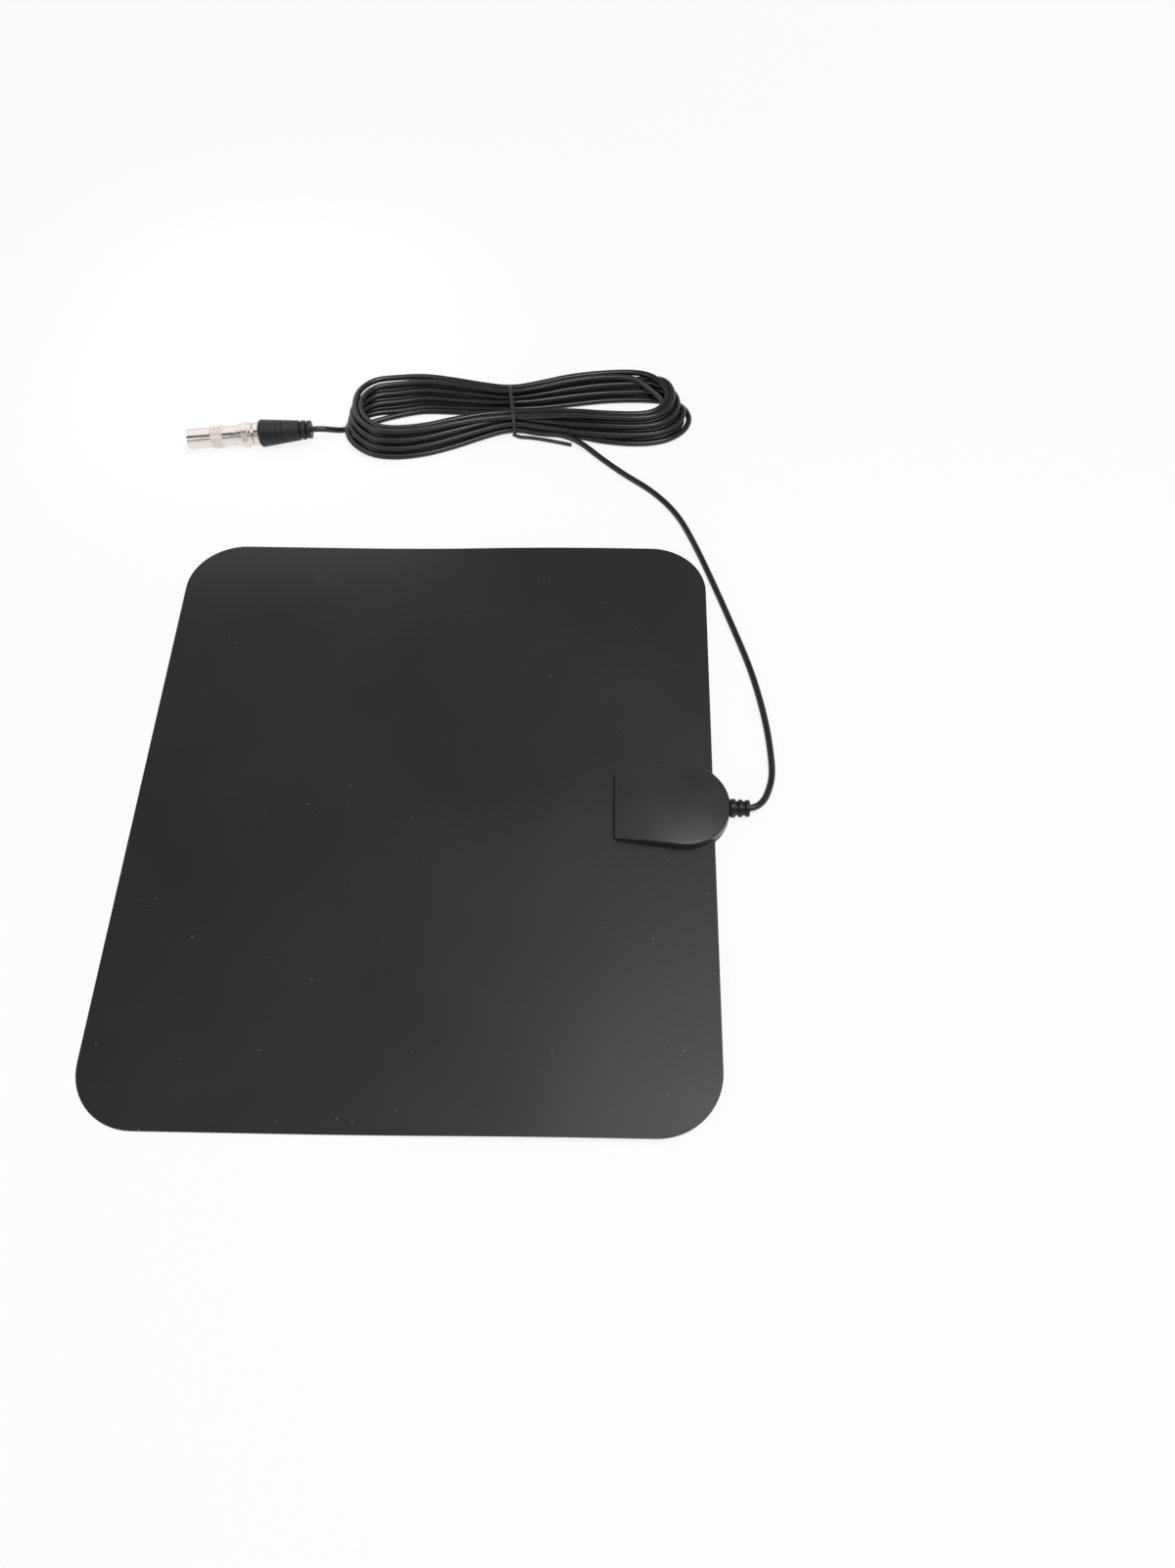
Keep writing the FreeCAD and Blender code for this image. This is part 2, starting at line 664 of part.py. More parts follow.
def build_stripped_end():
    """Inner insulation, conductor and twisted braid between strain relief and board."""
    board_end = BOARD_X + BOARD_LENGTH
    room = box((ROUND_X - WIDE, -WIDE, 0), (RELIEF_INNER, WIDE, TALL))
    root = V(RELIEF_INNER + BOARD_LAP, HOUSING_Y, RELIEF_AXIS_Z + CORE_LIFT)
    lap = V(board_end - BOARD_LAP, HOUSING_Y, BOARD_TOP + DIELECTRIC_RADIUS + CONDUCTOR_RADIUS)
    dielectric = straight(DIELECTRIC_RADIUS, root, lap).common(room)
    save(dielectric, "cable_dielectric")
    pad = lap + V(-CONDUCTOR_REACH, 0, 0)
    pad.z = BOARD_TOP + CONDUCTOR_RADIUS
    save(straight(CONDUCTOR_RADIUS, lap, pad).cut(dielectric), "cable_conductor")
    braid_root = root + V(0, BRAID_OFFSET, 0)
    braid_pad = V(board_end - BOARD_LAP, HOUSING_Y + BRAID_OFFSET, BOARD_TOP + 2 * BRAID_RADIUS)
    save(straight(BRAID_RADIUS, braid_root, braid_pad).common(room), "braid_tail")


# Lead, hank and tie

def on_hank(shape):
    """Place a shape drawn about the tie on the hank's own line."""
    shape.rotate(V(0, 0, 0), UP, HANK_TURN)
    shape.translate(V(TIE_X, TIE_Y, 0))
    return shape


def lobed_face(points):
    """Plan face inside a smooth closed curve through the points."""
    curve = Part.BSplineCurve()
    curve.interpolate([V(x, y, 0) for x, y in points], PeriodicFlag=True)
    return Part.Face(Part.Wire(curve.toShape()))


def stadium(half_width, half_height):
    """Closed oval in the YZ plane about the middle of the tied bundle."""
    flat = half_width - half_height
    low, high = TIE_MIDDLE_Z - half_height, TIE_MIDDLE_Z + half_height
    return Part.Wire([
        Part.LineSegment(V(0, -flat, low), V(0, flat, low)).toShape(),
        Part.Arc(V(0, flat, low), V(0, half_width, TIE_MIDDLE_Z), V(0, flat, high)).toShape(),
        Part.LineSegment(V(0, flat, high), V(0, -flat, high)).toShape(),
        Part.Arc(V(0, -flat, high), V(0, -half_width, TIE_MIDDLE_Z), V(0, -flat, low)).toShape(),
    ])


def build_hank():
    """Leaning two-lobed hank, drawn in at the tie, and the tie itself."""
    plan = lobed_face(HANK_OUTLINE).cut(lobed_face(HANK_LEFT_HOLE)).cut(lobed_face(HANK_RIGHT_HOLE))
    hank = plan.extrude(V(0, HANK_LEAN, HANK_HEIGHT))
    hank.translate(V(0, -HANK_LEAN / 2, 0))
    reach = TIE_WIRE + TIE_CLEAR
    waist = box((-reach, -WIDE, 0), (reach, WIDE, TALL))
    core = Part.Face(stadium(TIE_CORE_HALF_WIDTH, TIE_CORE_HALF_HEIGHT)).extrude(V(2 * reach, 0, 0))
    core.translate(V(-reach, 0, 0))
    hank = on_hank(hank.cut(waist).fuse(core))
    loop = stadium(TIE_CORE_HALF_WIDTH + reach, TIE_CORE_HALF_HEIGHT + reach)
    ring = Part.Wire(Part.makeCircle(TIE_WIRE, loop.Vertexes[0].Point, V(0, 1, 0)))
    band = on_hank(loop.makePipeShell([ring], True, False))
    quarter = (TIE_CORE_HALF_HEIGHT + reach) * math.sqrt(0.5)
    tail_root = Part.Vertex(0, TIE_CORE_HALF_HEIGHT - TIE_CORE_HALF_WIDTH - quarter, TIE_MIDDLE_Z - quarter)
    tail_points = [on_hank(tail_root).Point] + [V(*point) for point in TIE_TAIL_BENDS]
    tail = tube(tail_points, TIE_TAIL_RADIUS, "tie_tail")
    save(hank, "cable_hank")
    save(band.fuse(tail), "twist_tie")


def build_lead():
    """Tube from the strain relief to the hank."""
    exit_point = V(RELIEF_END - CABLE_SEAT, HOUSING_Y, RELIEF_AXIS_Z)
    points = [exit_point] + [V(*point) for point in LEAD_BENDS]
    save(tube(points, CABLE_RADIUS, "cable_lead"), "cable_lead")


# Plug and adapter, drawn along X from the boot's small end

RING_END = BOOT_LENGTH + RING_LENGTH
NUT_START = RING_END + NUT_PLAY
FLANGE_START = NUT_START + NUT_LIP + NUT_PLAY
FLANGE_END = FLANGE_START + FLANGE_THICKNESS
NUT_END = NUT_START + NUT_LENGTH
ADAPTER_START = FLANGE_END + SEAT_GAP
BODY_START = ADAPTER_START + THREAD_LENGTH
GRIP_START = BODY_START + BODY_LENGTH
SLEEVE_START = GRIP_START + GRIP_LENGTH
PLUG_END = SLEEVE_START + SLEEVE_LENGTH
PLUG_TILT = math.degrees(math.atan((BOOT_RADIUS - BODY_RADIUS) / (PLUG_END - BOOT_LENGTH)))
PLUG_Z = BOOT_RADIUS * math.cos(math.radians(PLUG_TILT)) + BOOT_LENGTH * math.sin(math.radians(PLUG_TILT))


def on_plug(shape):
    """Lay a plug piece on the surface: tilted onto its boot and sleeve, then turned in plan."""
    shape.rotate(V(0, 0, 0), V(0, 1, 0), PLUG_TILT)
    shape.rotate(V(0, 0, 0), UP, PLUG_YAW)
    shape.translate(V(PLUG_X, PLUG_Y, PLUG_Z))
    return shape


def plug_point(along):
    """Point on the plug's axis."""
    return on_plug(Part.Vertex(along, 0, 0)).Point


def build_boot():
    """Tapered boot with flex slots and grip grooves."""
    land = BOOT_LENGTH - BOOT_LAND
    boot = turned([
        (0, 0),
        (0, BOOT_END_RADIUS),
        (BOOT_CONE_START, BOOT_CONE_RADIUS),
        (land, BOOT_RADIUS),
        (BOOT_LENGTH - BOOT_EDGE, BOOT_RADIUS),
        (BOOT_LENGTH, BOOT_RADIUS - BOOT_EDGE),
        (BOOT_LENGTH, 0),
    ])
    slope = (BOOT_RADIUS - BOOT_CONE_RADIUS) / (land - BOOT_CONE_START)
    for start in BOOT_GROOVES:
        floor = BOOT_CONE_RADIUS + slope * (start - BOOT_CONE_START) - BOOT_GROOVE_DEPTH
        ring = rod(2 * BOOT_RADIUS, start, start + BOOT_GROOVE_WIDTH)
        boot = boot.cut(ring.cut(rod(floor, start, start + BOOT_GROOVE_WIDTH)))
    for number, start in enumerate(BOOT_SLOTS):
        ring = rod(2 * BOOT_RADIUS, start, start + BOOT_SLOT_WIDTH)
        ring = ring.cut(rod(BOOT_SLOT_RADIUS, start, start + BOOT_SLOT_WIDTH))
        bridge = box((start, -BOOT_BRIDGE / 2, -WIDE), (start + BOOT_SLOT_WIDTH, BOOT_BRIDGE / 2, WIDE))
        if number % 2:
            bridge.rotate(V(0, 0, 0), V(1, 0, 0), 90)
        boot = boot.cut(ring.cut(bridge))
    boot = boot.cut(rod(CABLE_RADIUS, 0, CABLE_SEAT))
    boot = boot.cut(rod(FERRULE_RADIUS, FERRULE_START, BOOT_LENGTH))
    save(on_plug(boot), "plug_boot")


def build_ferrule():
    """Turned ferrule, and the lead's insulation and core inside it."""
    ferrule = turned([
        (FERRULE_START, COAX_RADIUS + COAX_CLEAR),
        (FERRULE_START, FERRULE_RADIUS),
        (BOOT_LENGTH, FERRULE_RADIUS),
        (BOOT_LENGTH, RING_RADIUS - RING_EDGE),
        (BOOT_LENGTH + RING_EDGE, RING_RADIUS),
        (RING_END - RING_EDGE, RING_RADIUS),
        (RING_END, RING_RADIUS - RING_EDGE),
        (RING_END, NECK_RADIUS),
        (FLANGE_START, NECK_RADIUS),
        (FLANGE_START, FLANGE_RADIUS),
        (FLANGE_END, FLANGE_RADIUS),
        (FLANGE_END, COAX_RADIUS + COAX_CLEAR),
    ])
    save(on_plug(ferrule), "plug_ferrule")
    bore = rod(WIRE_RADIUS + COAX_CLEAR, FLANGE_END - WIRE_TAIL, FLANGE_END)
    save(on_plug(rod(COAX_RADIUS, FERRULE_START, FLANGE_END).cut(bore)), "plug_dielectric")
    wire = rod(WIRE_RADIUS, FLANGE_END - WIRE_TAIL, FLANGE_END + WIRE_REACH)
    save(on_plug(wire), "plug_centre_wire")


def build_nut():
    """Coupling nut: hexagon band between two round collars, bored for flange and thread."""
    hex_start = NUT_START + (NUT_LENGTH - NUT_HEX_LENGTH) / 2
    hex_end = hex_start + NUT_HEX_LENGTH
    collar = turned([
        (NUT_START, 0),
        (NUT_START, NUT_COLLAR - NUT_EDGE),
        (NUT_START + NUT_EDGE, NUT_COLLAR),
        (NUT_END - NUT_EDGE, NUT_COLLAR),
        (NUT_END, NUT_COLLAR - NUT_EDGE),
        (NUT_END, 0),
    ])
    corner = NUT_FLATS / 2 / math.cos(math.pi / 6)
    points = [
        V(hex_start, corner * math.cos(math.radians(60 * k)), corner * math.sin(math.radians(60 * k)))
        for k in range(6)
    ]
    band = Part.Face(Part.makePolygon(points + points[:1])).extrude(V(NUT_HEX_LENGTH, 0, 0))
    band = band.common(turned([
        (hex_start, 0),
        (hex_start, NUT_CORNERS / 2 - NUT_EDGE),
        (hex_start + NUT_EDGE, NUT_CORNERS / 2),
        (hex_end - NUT_EDGE, NUT_CORNERS / 2),
        (hex_end, NUT_CORNERS / 2 - NUT_EDGE),
        (hex_end, 0),
    ]))
    nut = collar.fuse(band)
    nut = nut.cut(rod(NECK_RADIUS + NUT_PLAY, NUT_START, NUT_END))
    nut = nut.cut(rod(THREAD_RADIUS + THREAD_CLEAR, NUT_START + NUT_LIP, NUT_END))
    save(on_plug(nut), "coupling_nut")


def build_adapter():
    """Adapter from thread to aerial sleeve, with its pin and two insulators."""
    rear_end = ADAPTER_START + SOCKET_DEPTH
    front_start = SLEEVE_START - FRONT_INSULATOR_INSET
    body = turned([
        (ADAPTER_START, 0),
        (ADAPTER_START, THREAD_RADIUS - GRIP_EDGE),
        (ADAPTER_START + GRIP_EDGE, THREAD_RADIUS),
        (BODY_START, THREAD_RADIUS),
        (BODY_START, BODY_RADIUS),
        (GRIP_START, BODY_RADIUS),
        (GRIP_START + GRIP_EDGE, GRIP_RADIUS),
        (SLEEVE_START - GRIP_EDGE, GRIP_RADIUS),
        (SLEEVE_START, BODY_RADIUS),
        (PLUG_END - SLEEVE_EDGE, BODY_RADIUS),
        (PLUG_END, BODY_RADIUS - SLEEVE_EDGE),
        (PLUG_END, 0),
    ])
    body = body.cut(rod(SOCKET_BORE, ADAPTER_START, rear_end))
    body = body.cut(rod(MID_BORE, rear_end, front_start))
    body = body.cut(rod(SLEEVE_BORE, front_start, PLUG_END))
    save(on_plug(body), "adapter_body")
    rear = rod(SOCKET_BORE, ADAPTER_START + INSULATOR_RECESS, rear_end)
    rear = rear.cut(rod(PIN_RADIUS, ADAPTER_START, rear_end))
    save(on_plug(rear), "adapter_rear_insulator")
    front = rod(SLEEVE_BORE, front_start, front_start + FRONT_INSULATOR)
    front = front.cut(rod(PIN_RADIUS, front_start, PLUG_END))
    save(on_plug(front), "adapter_front_insulator")
    pin_start = ADAPTER_START + PIN_START_RECESS
    pin = rod(PIN_RADIUS, pin_start, PLUG_END - PIN_RECESS)
    nose = [edge for edge in pin.Edges if edge.BoundBox.XMin > PLUG_END - PIN_RECESS - NEAR]
    pin = pin.makeFillet(PIN_NOSE, nose)
    pin = pin.cut(rod(PIN_BORE, pin_start, pin_start + PIN_BORE_DEPTH))
    save(on_plug(pin), "adapter_pin")


def build_tail():
    """Tube from the boot down to the hank."""
    points = [plug_point(CABLE_SEAT), plug_point(-TAIL_START)] + [V(*point) for point in TAIL_BENDS]
    save(tube(points, CABLE_RADIUS, "cable_tail"), "cable_tail")


def main():
    """Build every piece."""
    os.makedirs("parts", exist_ok=True)
    build_sheet()
    build_top_cover()
    build_bottom_cover()
    build_board()
    build_strain_relief()
    build_stripped_end()
    build_lead()
    build_hank()
    build_tail()
    build_boot()
    build_ferrule()
    build_nut()
    build_adapter()


main()
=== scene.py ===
"""Looks of a flat indoor television aerial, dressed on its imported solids."""

import logging
import math
from dataclasses import dataclass
from enum import Enum
from typing import Any, ClassVar

import bmesh
import bpy
from mathutils import Matrix, Vector


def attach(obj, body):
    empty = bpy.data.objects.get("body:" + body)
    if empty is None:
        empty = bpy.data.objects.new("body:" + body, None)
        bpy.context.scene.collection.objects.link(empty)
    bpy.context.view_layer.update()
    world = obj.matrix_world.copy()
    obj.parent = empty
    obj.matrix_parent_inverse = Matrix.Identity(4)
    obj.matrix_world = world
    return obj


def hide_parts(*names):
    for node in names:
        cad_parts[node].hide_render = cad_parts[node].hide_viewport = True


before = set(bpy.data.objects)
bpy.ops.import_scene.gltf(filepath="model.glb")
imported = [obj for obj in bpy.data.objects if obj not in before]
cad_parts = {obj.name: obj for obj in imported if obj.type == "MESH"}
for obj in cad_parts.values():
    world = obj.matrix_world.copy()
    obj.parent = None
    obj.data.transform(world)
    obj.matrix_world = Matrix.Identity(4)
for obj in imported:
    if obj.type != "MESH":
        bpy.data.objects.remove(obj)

LOG = logging.getLogger("aerial")
MM = 0.001
# Bodies of the frame that the new pieces ride on.
ROOT_BODY = "antenna"
ADAPTER_BODY = "adapter"

Point = tuple[float, float, float]
Colour = tuple[float, float, float, float]

ORIGIN: Point = (0.0, 0.0, 0.0)
# Octaves of the fine and of the slow noises.
FINE_DETAIL = 3.0
SLOW_DETAIL = 2.0
# Part of the slow noise's range over which a tone or a roughness drifts.
DRIFT_RANGE = (0.35, 0.65)
# Width of a speck's soft rim, against the distance between specks.
SPECK_EDGE = 0.04
# Fineness of the cross-section of a cord or a wire.
BEVEL_RESOLUTION = 4


class MaterialSlot(Enum):
    """Material slots of the record that a new piece may take its finish from."""

    JACKET = "cable_jacket"
    TIE = "tie"
    NICKEL = "nickel"


class NodeSketch:
    """Short way to add and join nodes in one node tree."""

    def __init__(self, tree: bpy.types.NodeTree) -> None:
        """Keeps the tree to draw in."""
        self.tree = tree

    def add(self, kind: str, inputs: dict[str | int, Any] | None = None, **settings: Any) -> bpy.types.Node:
        """Adds a node.

        Args:
            kind: Blender's name of the node type.
            inputs: Socket values, or sockets of other nodes to join to them, by socket name or number.
            settings: Properties of the node.

        Returns:
            The new node.
        """
        node = self.tree.nodes.new(kind)
        for name, value in settings.items():
            setattr(node, name, value)
        for name, value in (inputs or {}).items():
            if isinstance(value, bpy.types.NodeSocket):
                self.tree.links.new(value, node.inputs[name])
            else:
                node.inputs[name].default_value = value
        return node

    def math(self, operation: str, *values: Any) -> bpy.types.NodeSocket:
        """Adds a Math node.

        Args:
            operation: Blender's name of the operation.
            values: Its numbers or sockets, in order.

        Returns:
            The result's socket.
        """
        node = self.add("ShaderNodeMath", dict(enumerate(values)), operation=operation)
        return node.outputs[0]

    def dot(self, vector: bpy.types.NodeSocket, axis: Vector) -> bpy.types.NodeSocket:
        """Adds a dot product with a fixed direction.

        Args:
            vector: Socket of the varying vector.
            axis: The fixed direction.

        Returns:
            The result's socket.
        """
        node = self.add("ShaderNodeVectorMath", {0: vector, 1: tuple(axis)}, operation="DOT_PRODUCT")
        return node.outputs["Value"]

    def ramp(self, factor: bpy.types.NodeSocket, low: float, high: float, start: float, end: float) -> Any:
        """Adds a clamped Map Range node.

        Args:
            factor: Socket of the varying value.
            low: Value that gives the start.
            high: Value that gives the end.
            start: Result at the low value.
            end: Result at the high value.

        Returns:
            The result's socket.
        """
        values = {0: factor, 1: low, 2: high, 3: start, 4: end}
        return self.add("ShaderNodeMapRange", values, clamp=True).outputs[0]

    def blend(self, factor: bpy.types.NodeSocket, first: Any, second: Any) -> bpy.types.NodeSocket:
        """Adds a colour mix.

        Args:
            factor: Socket of the mask.
            first: Colour or socket where the mask is 0.
            second: Colour or socket where the mask is 1.

        Returns:
            The mixed colour's socket.
        """
        node = self.add("ShaderNodeMix", {0: factor, 6: first, 7: second}, data_type="RGBA")
        return node.outputs[2]


def group_tree(name: str, inputs: dict[str, str], outputs: dict[str, str]) -> tuple[NodeSketch, Any, Any]:
    """Starts a shader node group.

    Args:
        name: The group's name.
        inputs: Socket type of each input, by its name.
        outputs: Socket type of each output, by its name.

    Returns:
        The sketch of the group, its input node and its output node.
    """
    tree = bpy.data.node_groups.new(name, "ShaderNodeTree")
    for label, kind in inputs.items():
        tree.interface.new_socket(label, in_out="INPUT", socket_type=kind)
    for label, kind in outputs.items():
        tree.interface.new_socket(label, in_out="OUTPUT", socket_type=kind)
    sketch = NodeSketch(tree)
    return sketch, sketch.add("NodeGroupInput"), sketch.add("NodeGroupOutput")


def grain_group() -> bpy.types.NodeTree:
    """Builds the moulded grain: a fine height and a slow drift of tone.

    Returns:
        The shader node group.
    """
    sketch, given, result = group_tree(
        "moulded_grain",
        {"Vector": "NodeSocketVector", "Scale": "NodeSocketFloat", "Drift Scale": "NodeSocketFloat"},
        {"Height": "NodeSocketFloat", "Drift": "NodeSocketFloat"},
    )
    fine = sketch.add(
        "ShaderNodeTexNoise",
        {"Vector": given.outputs["Vector"], "Scale": given.outputs["Scale"], "Detail": FINE_DETAIL},
    )
    slow = sketch.add(
        "ShaderNodeTexNoise",
        {"Vector": given.outputs["Vector"], "Scale": given.outputs["Drift Scale"], "Detail": SLOW_DETAIL},
    )
    sketch.tree.links.new(fine.outputs[0], result.inputs["Height"])
    sketch.tree.links.new(slow.outputs[0], result.inputs["Drift"])
    return sketch.tree


def dust_group() -> bpy.types.NodeTree:
    """Builds settled dust: scattered small specks.

    Returns:
        The shader node group.
    """
    sketch, given, result = group_tree(
        "settled_dust",
        {
            "Vector": "NodeSocketVector",
            "Specks per Metre": "NodeSocketFloat",
            "Speck Size": "NodeSocketFloat",
        },
        {"Mask": "NodeSocketFloat"},
    )
    cells = sketch.add(
        "ShaderNodeTexVoronoi",
        {"Vector": given.outputs["Vector"], "Scale": given.outputs["Specks per Metre"]},
    )
    chance = sketch.add("ShaderNodeSeparateColor", {0: cells.outputs["Color"]})
    size = sketch.math("MULTIPLY", given.outputs["Speck Size"], chance.outputs[0])
    nearness = sketch.math("SUBTRACT", size, cells.outputs["Distance"])
    speck = sketch.ramp(nearness, 0.0, SPECK_EDGE, 0.0, 1.0)
    bright = sketch.math("MULTIPLY", speck, chance.outputs[1])
    sketch.tree.links.new(bright, result.inputs["Mask"])
    return sketch.tree


@dataclass(frozen=True)
class PlugAxis:
    """Where the plug lies, in metres.

    Attributes:
        start: Middle of the boot's small end.
        along: Direction from the boot to the sleeve.
    """

    start: Vector = Vector((-0.0768, 0.1998, 0.007469))
    along: Vector = Vector((-0.9954136, -0.08358722, -0.04652888))


def plug_place_group(axis: PlugAxis) -> bpy.types.NodeTree:
    """Builds the place on the plug, in millimetres along it.

    Args:
        axis: Where the plug lies.

    Returns:
        The shader node group.
    """
    sketch, given, result = group_tree(
        "place_on_plug", {"Vector": "NodeSocketVector"}, {"Along": "NodeSocketFloat"},
    )
    offset = sketch.add(
        "ShaderNodeVectorMath",
        {0: given.outputs["Vector"], 1: tuple(axis.start)},
        operation="SUBTRACT",
    ).outputs[0]
    along = sketch.math("MULTIPLY", sketch.dot(offset, axis.along), 1 / MM)
    sketch.tree.links.new(along, result.inputs["Along"])
    return sketch.tree


@dataclass
class SharedGroups:
    """The shader node groups that several finishes use."""

    grain: bpy.types.NodeTree
    dust: bpy.types.NodeTree
    plug_place: bpy.types.NodeTree

    @classmethod
    def build(cls) -> "SharedGroups":
        """Builds every group once."""
        return cls(grain_group(), dust_group(), plug_place_group(PlugAxis()))


def empty_material(name: str) -> tuple[bpy.types.Material, NodeSketch]:
    """Starts a material with no nodes.

    Args:
        name: The material's name.

    Returns:
        The material and the sketch of its tree.
    """
    material = bpy.data.materials.new(name)
    material.use_nodes = True
    material.node_tree.nodes.clear()
    return material, NodeSketch(material.node_tree)


def new_material(name: str) -> tuple[bpy.types.Material, NodeSketch, bpy.types.Node]:
    """Starts a material with a Principled BSDF.

    Args:
        name: The material's name.

    Returns:
        The material, the sketch of its tree and its shader node.
    """
    material, sketch = empty_material(name)
    shader = sketch.add("ShaderNodeBsdfPrincipled")
    sketch.add("ShaderNodeOutputMaterial", {"Surface": shader.outputs[0]})
    return material, sketch, shader


@dataclass(frozen=True)
class PlasticFinish:
    """Moulded or extruded plastic with a fine grain.

    Attributes:
        name: The material's name.
        colour: Base colour.
        lighter: Colour that the slow drift of tone goes to.
        roughness: Roughness where the drift is lowest and highest.
        grain: Grains per metre.
        bump: Strength of the grain.
        drift: Drifts of tone per metre.
        dust: Specks of dust per metre, or 0 for none.
        speck: Size of a speck against the distance between specks.
        gloss: Specular level.
    """

    name: str
    colour: Colour
    lighter: Colour
    roughness: tuple[float, float]
    grain: float
    bump: float
    drift: float = 30.0
    dust: float = 0.0
    speck: float = 0.05
    gloss: float = 0.5

    DUST_COLOUR: ClassVar[Colour] = (0.13, 0.128, 0.124, 1.0)
    # Depth of the grain at full strength, in metres.
    BUMP_DISTANCE: ClassVar[float] = 0.0002

    def material(self, groups: SharedGroups) -> bpy.types.Material:
        """Builds the material.

        Args:
            groups: The shared node groups.

        Returns:
            The finished material.
        """
        material, sketch, shader = new_material(self.name)
        place = sketch.add("ShaderNodeTexCoord").outputs["Object"]
        grain = sketch.add(
            "ShaderNodeGroup",
            {"Vector": place, "Scale": self.grain, "Drift Scale": self.drift},
            node_tree=groups.grain,
        )
        tone = sketch.ramp(grain.outputs["Drift"], *DRIFT_RANGE, 0.0, 1.0)
        colour = sketch.blend(tone, self.colour, self.lighter)
        if self.dust:
            dust = sketch.add(
                "ShaderNodeGroup",
                {"Vector": place, "Specks per Metre": self.dust, "Speck Size": self.speck},
                node_tree=groups.dust,
            )
            colour = sketch.blend(dust.outputs["Mask"], colour, self.DUST_COLOUR)
        rough = sketch.ramp(grain.outputs["Drift"], *DRIFT_RANGE, *self.roughness)
        bump = sketch.add(
            "ShaderNodeBump",
            {"Height": grain.outputs["Height"], "Strength": self.bump, "Distance": self.BUMP_DISTANCE},
        )
        sketch.tree.links.new(colour, shader.inputs["Base Color"])
        sketch.tree.links.new(rough, shader.inputs["Roughness"])
        sketch.tree.links.new(bump.outputs[0], shader.inputs["Normal"])
        shader.inputs["Specular IOR Level"].default_value = self.gloss
        return material


@dataclass(frozen=True)
class MetalFinish:
    """Plated or drawn metal, with turning marks where it is on the plug.

    Attributes:
        name: The material's name.
        colour: Base colour.
        worn: Colour that the slow drift of tone goes to.
        roughness: Roughness where the drift is lowest and highest.
        rings: Turning marks per millimetre along the plug, or 0 for none.
        ring_bump: Strength of the turning marks.
        grip: Where a rougher grip band starts and ends along the plug, in millimetres, or None.
    """

    name: str
    colour: Colour
    worn: Colour
    roughness: tuple[float, float]
    rings: float = 0.0
    ring_bump: float = 0.0
    grip: tuple[float, float] | None = None

    GRIP_ROUGHNESS: ClassVar[float] = 0.4
    # Length over which the band's roughness comes in, in millimetres.
    GRIP_EDGE: ClassVar[float] = 0.25
    # Depth of the turning marks at full strength, in metres.
    RING_DEPTH: ClassVar[float] = 0.00003
    # Drifts of tone and grains per metre.
    DRIFT_SCALE: ClassVar[float] = 90.0
    FINE_SCALE: ClassVar[float] = 2500.0

    def material(self, groups: SharedGroups) -> bpy.types.Material:
        """Builds the material.

        Args:
            groups: The shared node groups.

        Returns:
            The finished material.
        """
        material, sketch, shader = new_material(self.name)
        place = sketch.add("ShaderNodeTexCoord").outputs["Object"]
        grain = sketch.add(
            "ShaderNodeGroup",
            {"Vector": place, "Scale": self.FINE_SCALE, "Drift Scale": self.DRIFT_SCALE},
            node_tree=groups.grain,
        )
        tone = sketch.ramp(grain.outputs["Drift"], *DRIFT_RANGE, 0.0, 1.0)
        colour = sketch.blend(tone, self.colour, self.worn)
        rough = sketch.ramp(grain.outputs["Drift"], *DRIFT_RANGE, *self.roughness)
        if self.rings:
            on_plug = sketch.add("ShaderNodeGroup", {"Vector": place}, node_tree=groups.plug_place)
            along = on_plug.outputs["Along"]
            marks = sketch.add(
                "ShaderNodeTexNoise",
                {"W": along, "Scale": self.rings, "Detail": SLOW_DETAIL},
                noise_dimensions="1D",
            )
            ring_marks = sketch.add(
                "ShaderNodeBump",
                {"Height": marks.outputs[0], "Strength": self.ring_bump, "Distance": self.RING_DEPTH},
            )
            sketch.tree.links.new(ring_marks.outputs[0], shader.inputs["Normal"])
            if self.grip:
                start, end = self.grip
                entering = sketch.ramp(along, start, start + self.GRIP_EDGE, 0.0, 1.0)
                leaving = sketch.ramp(along, end - self.GRIP_EDGE, end, 1.0, 0.0)
                band = sketch.math("MULTIPLY", entering, leaving)
                lift = sketch.math("MULTIPLY", band, self.GRIP_ROUGHNESS)
                rough = sketch.math("MAXIMUM", rough, lift)
        sketch.tree.links.new(colour, shader.inputs["Base Color"])
        sketch.tree.links.new(rough, shader.inputs["Roughness"])
        shader.inputs["Metallic"].default_value = 1.0
        return material


class Side(Enum):
    """The four stretches of one turn of the hank, in the order in which the lead runs through them."""

    NEAR = "near run"
    LEFT = "left end"
    FAR = "far run"
    RIGHT = "right end"


@dataclass(frozen=True)
class Slot:
    """Place of one strand in a run's cross-section.

    Attributes:
        layer: Layer of strands above the floor, from 0; between two layers while a strand moves.
        column: 1 for the outer column, 0 for the inner one and -1 for the slope inside it.
    """

    layer: float
    column: float


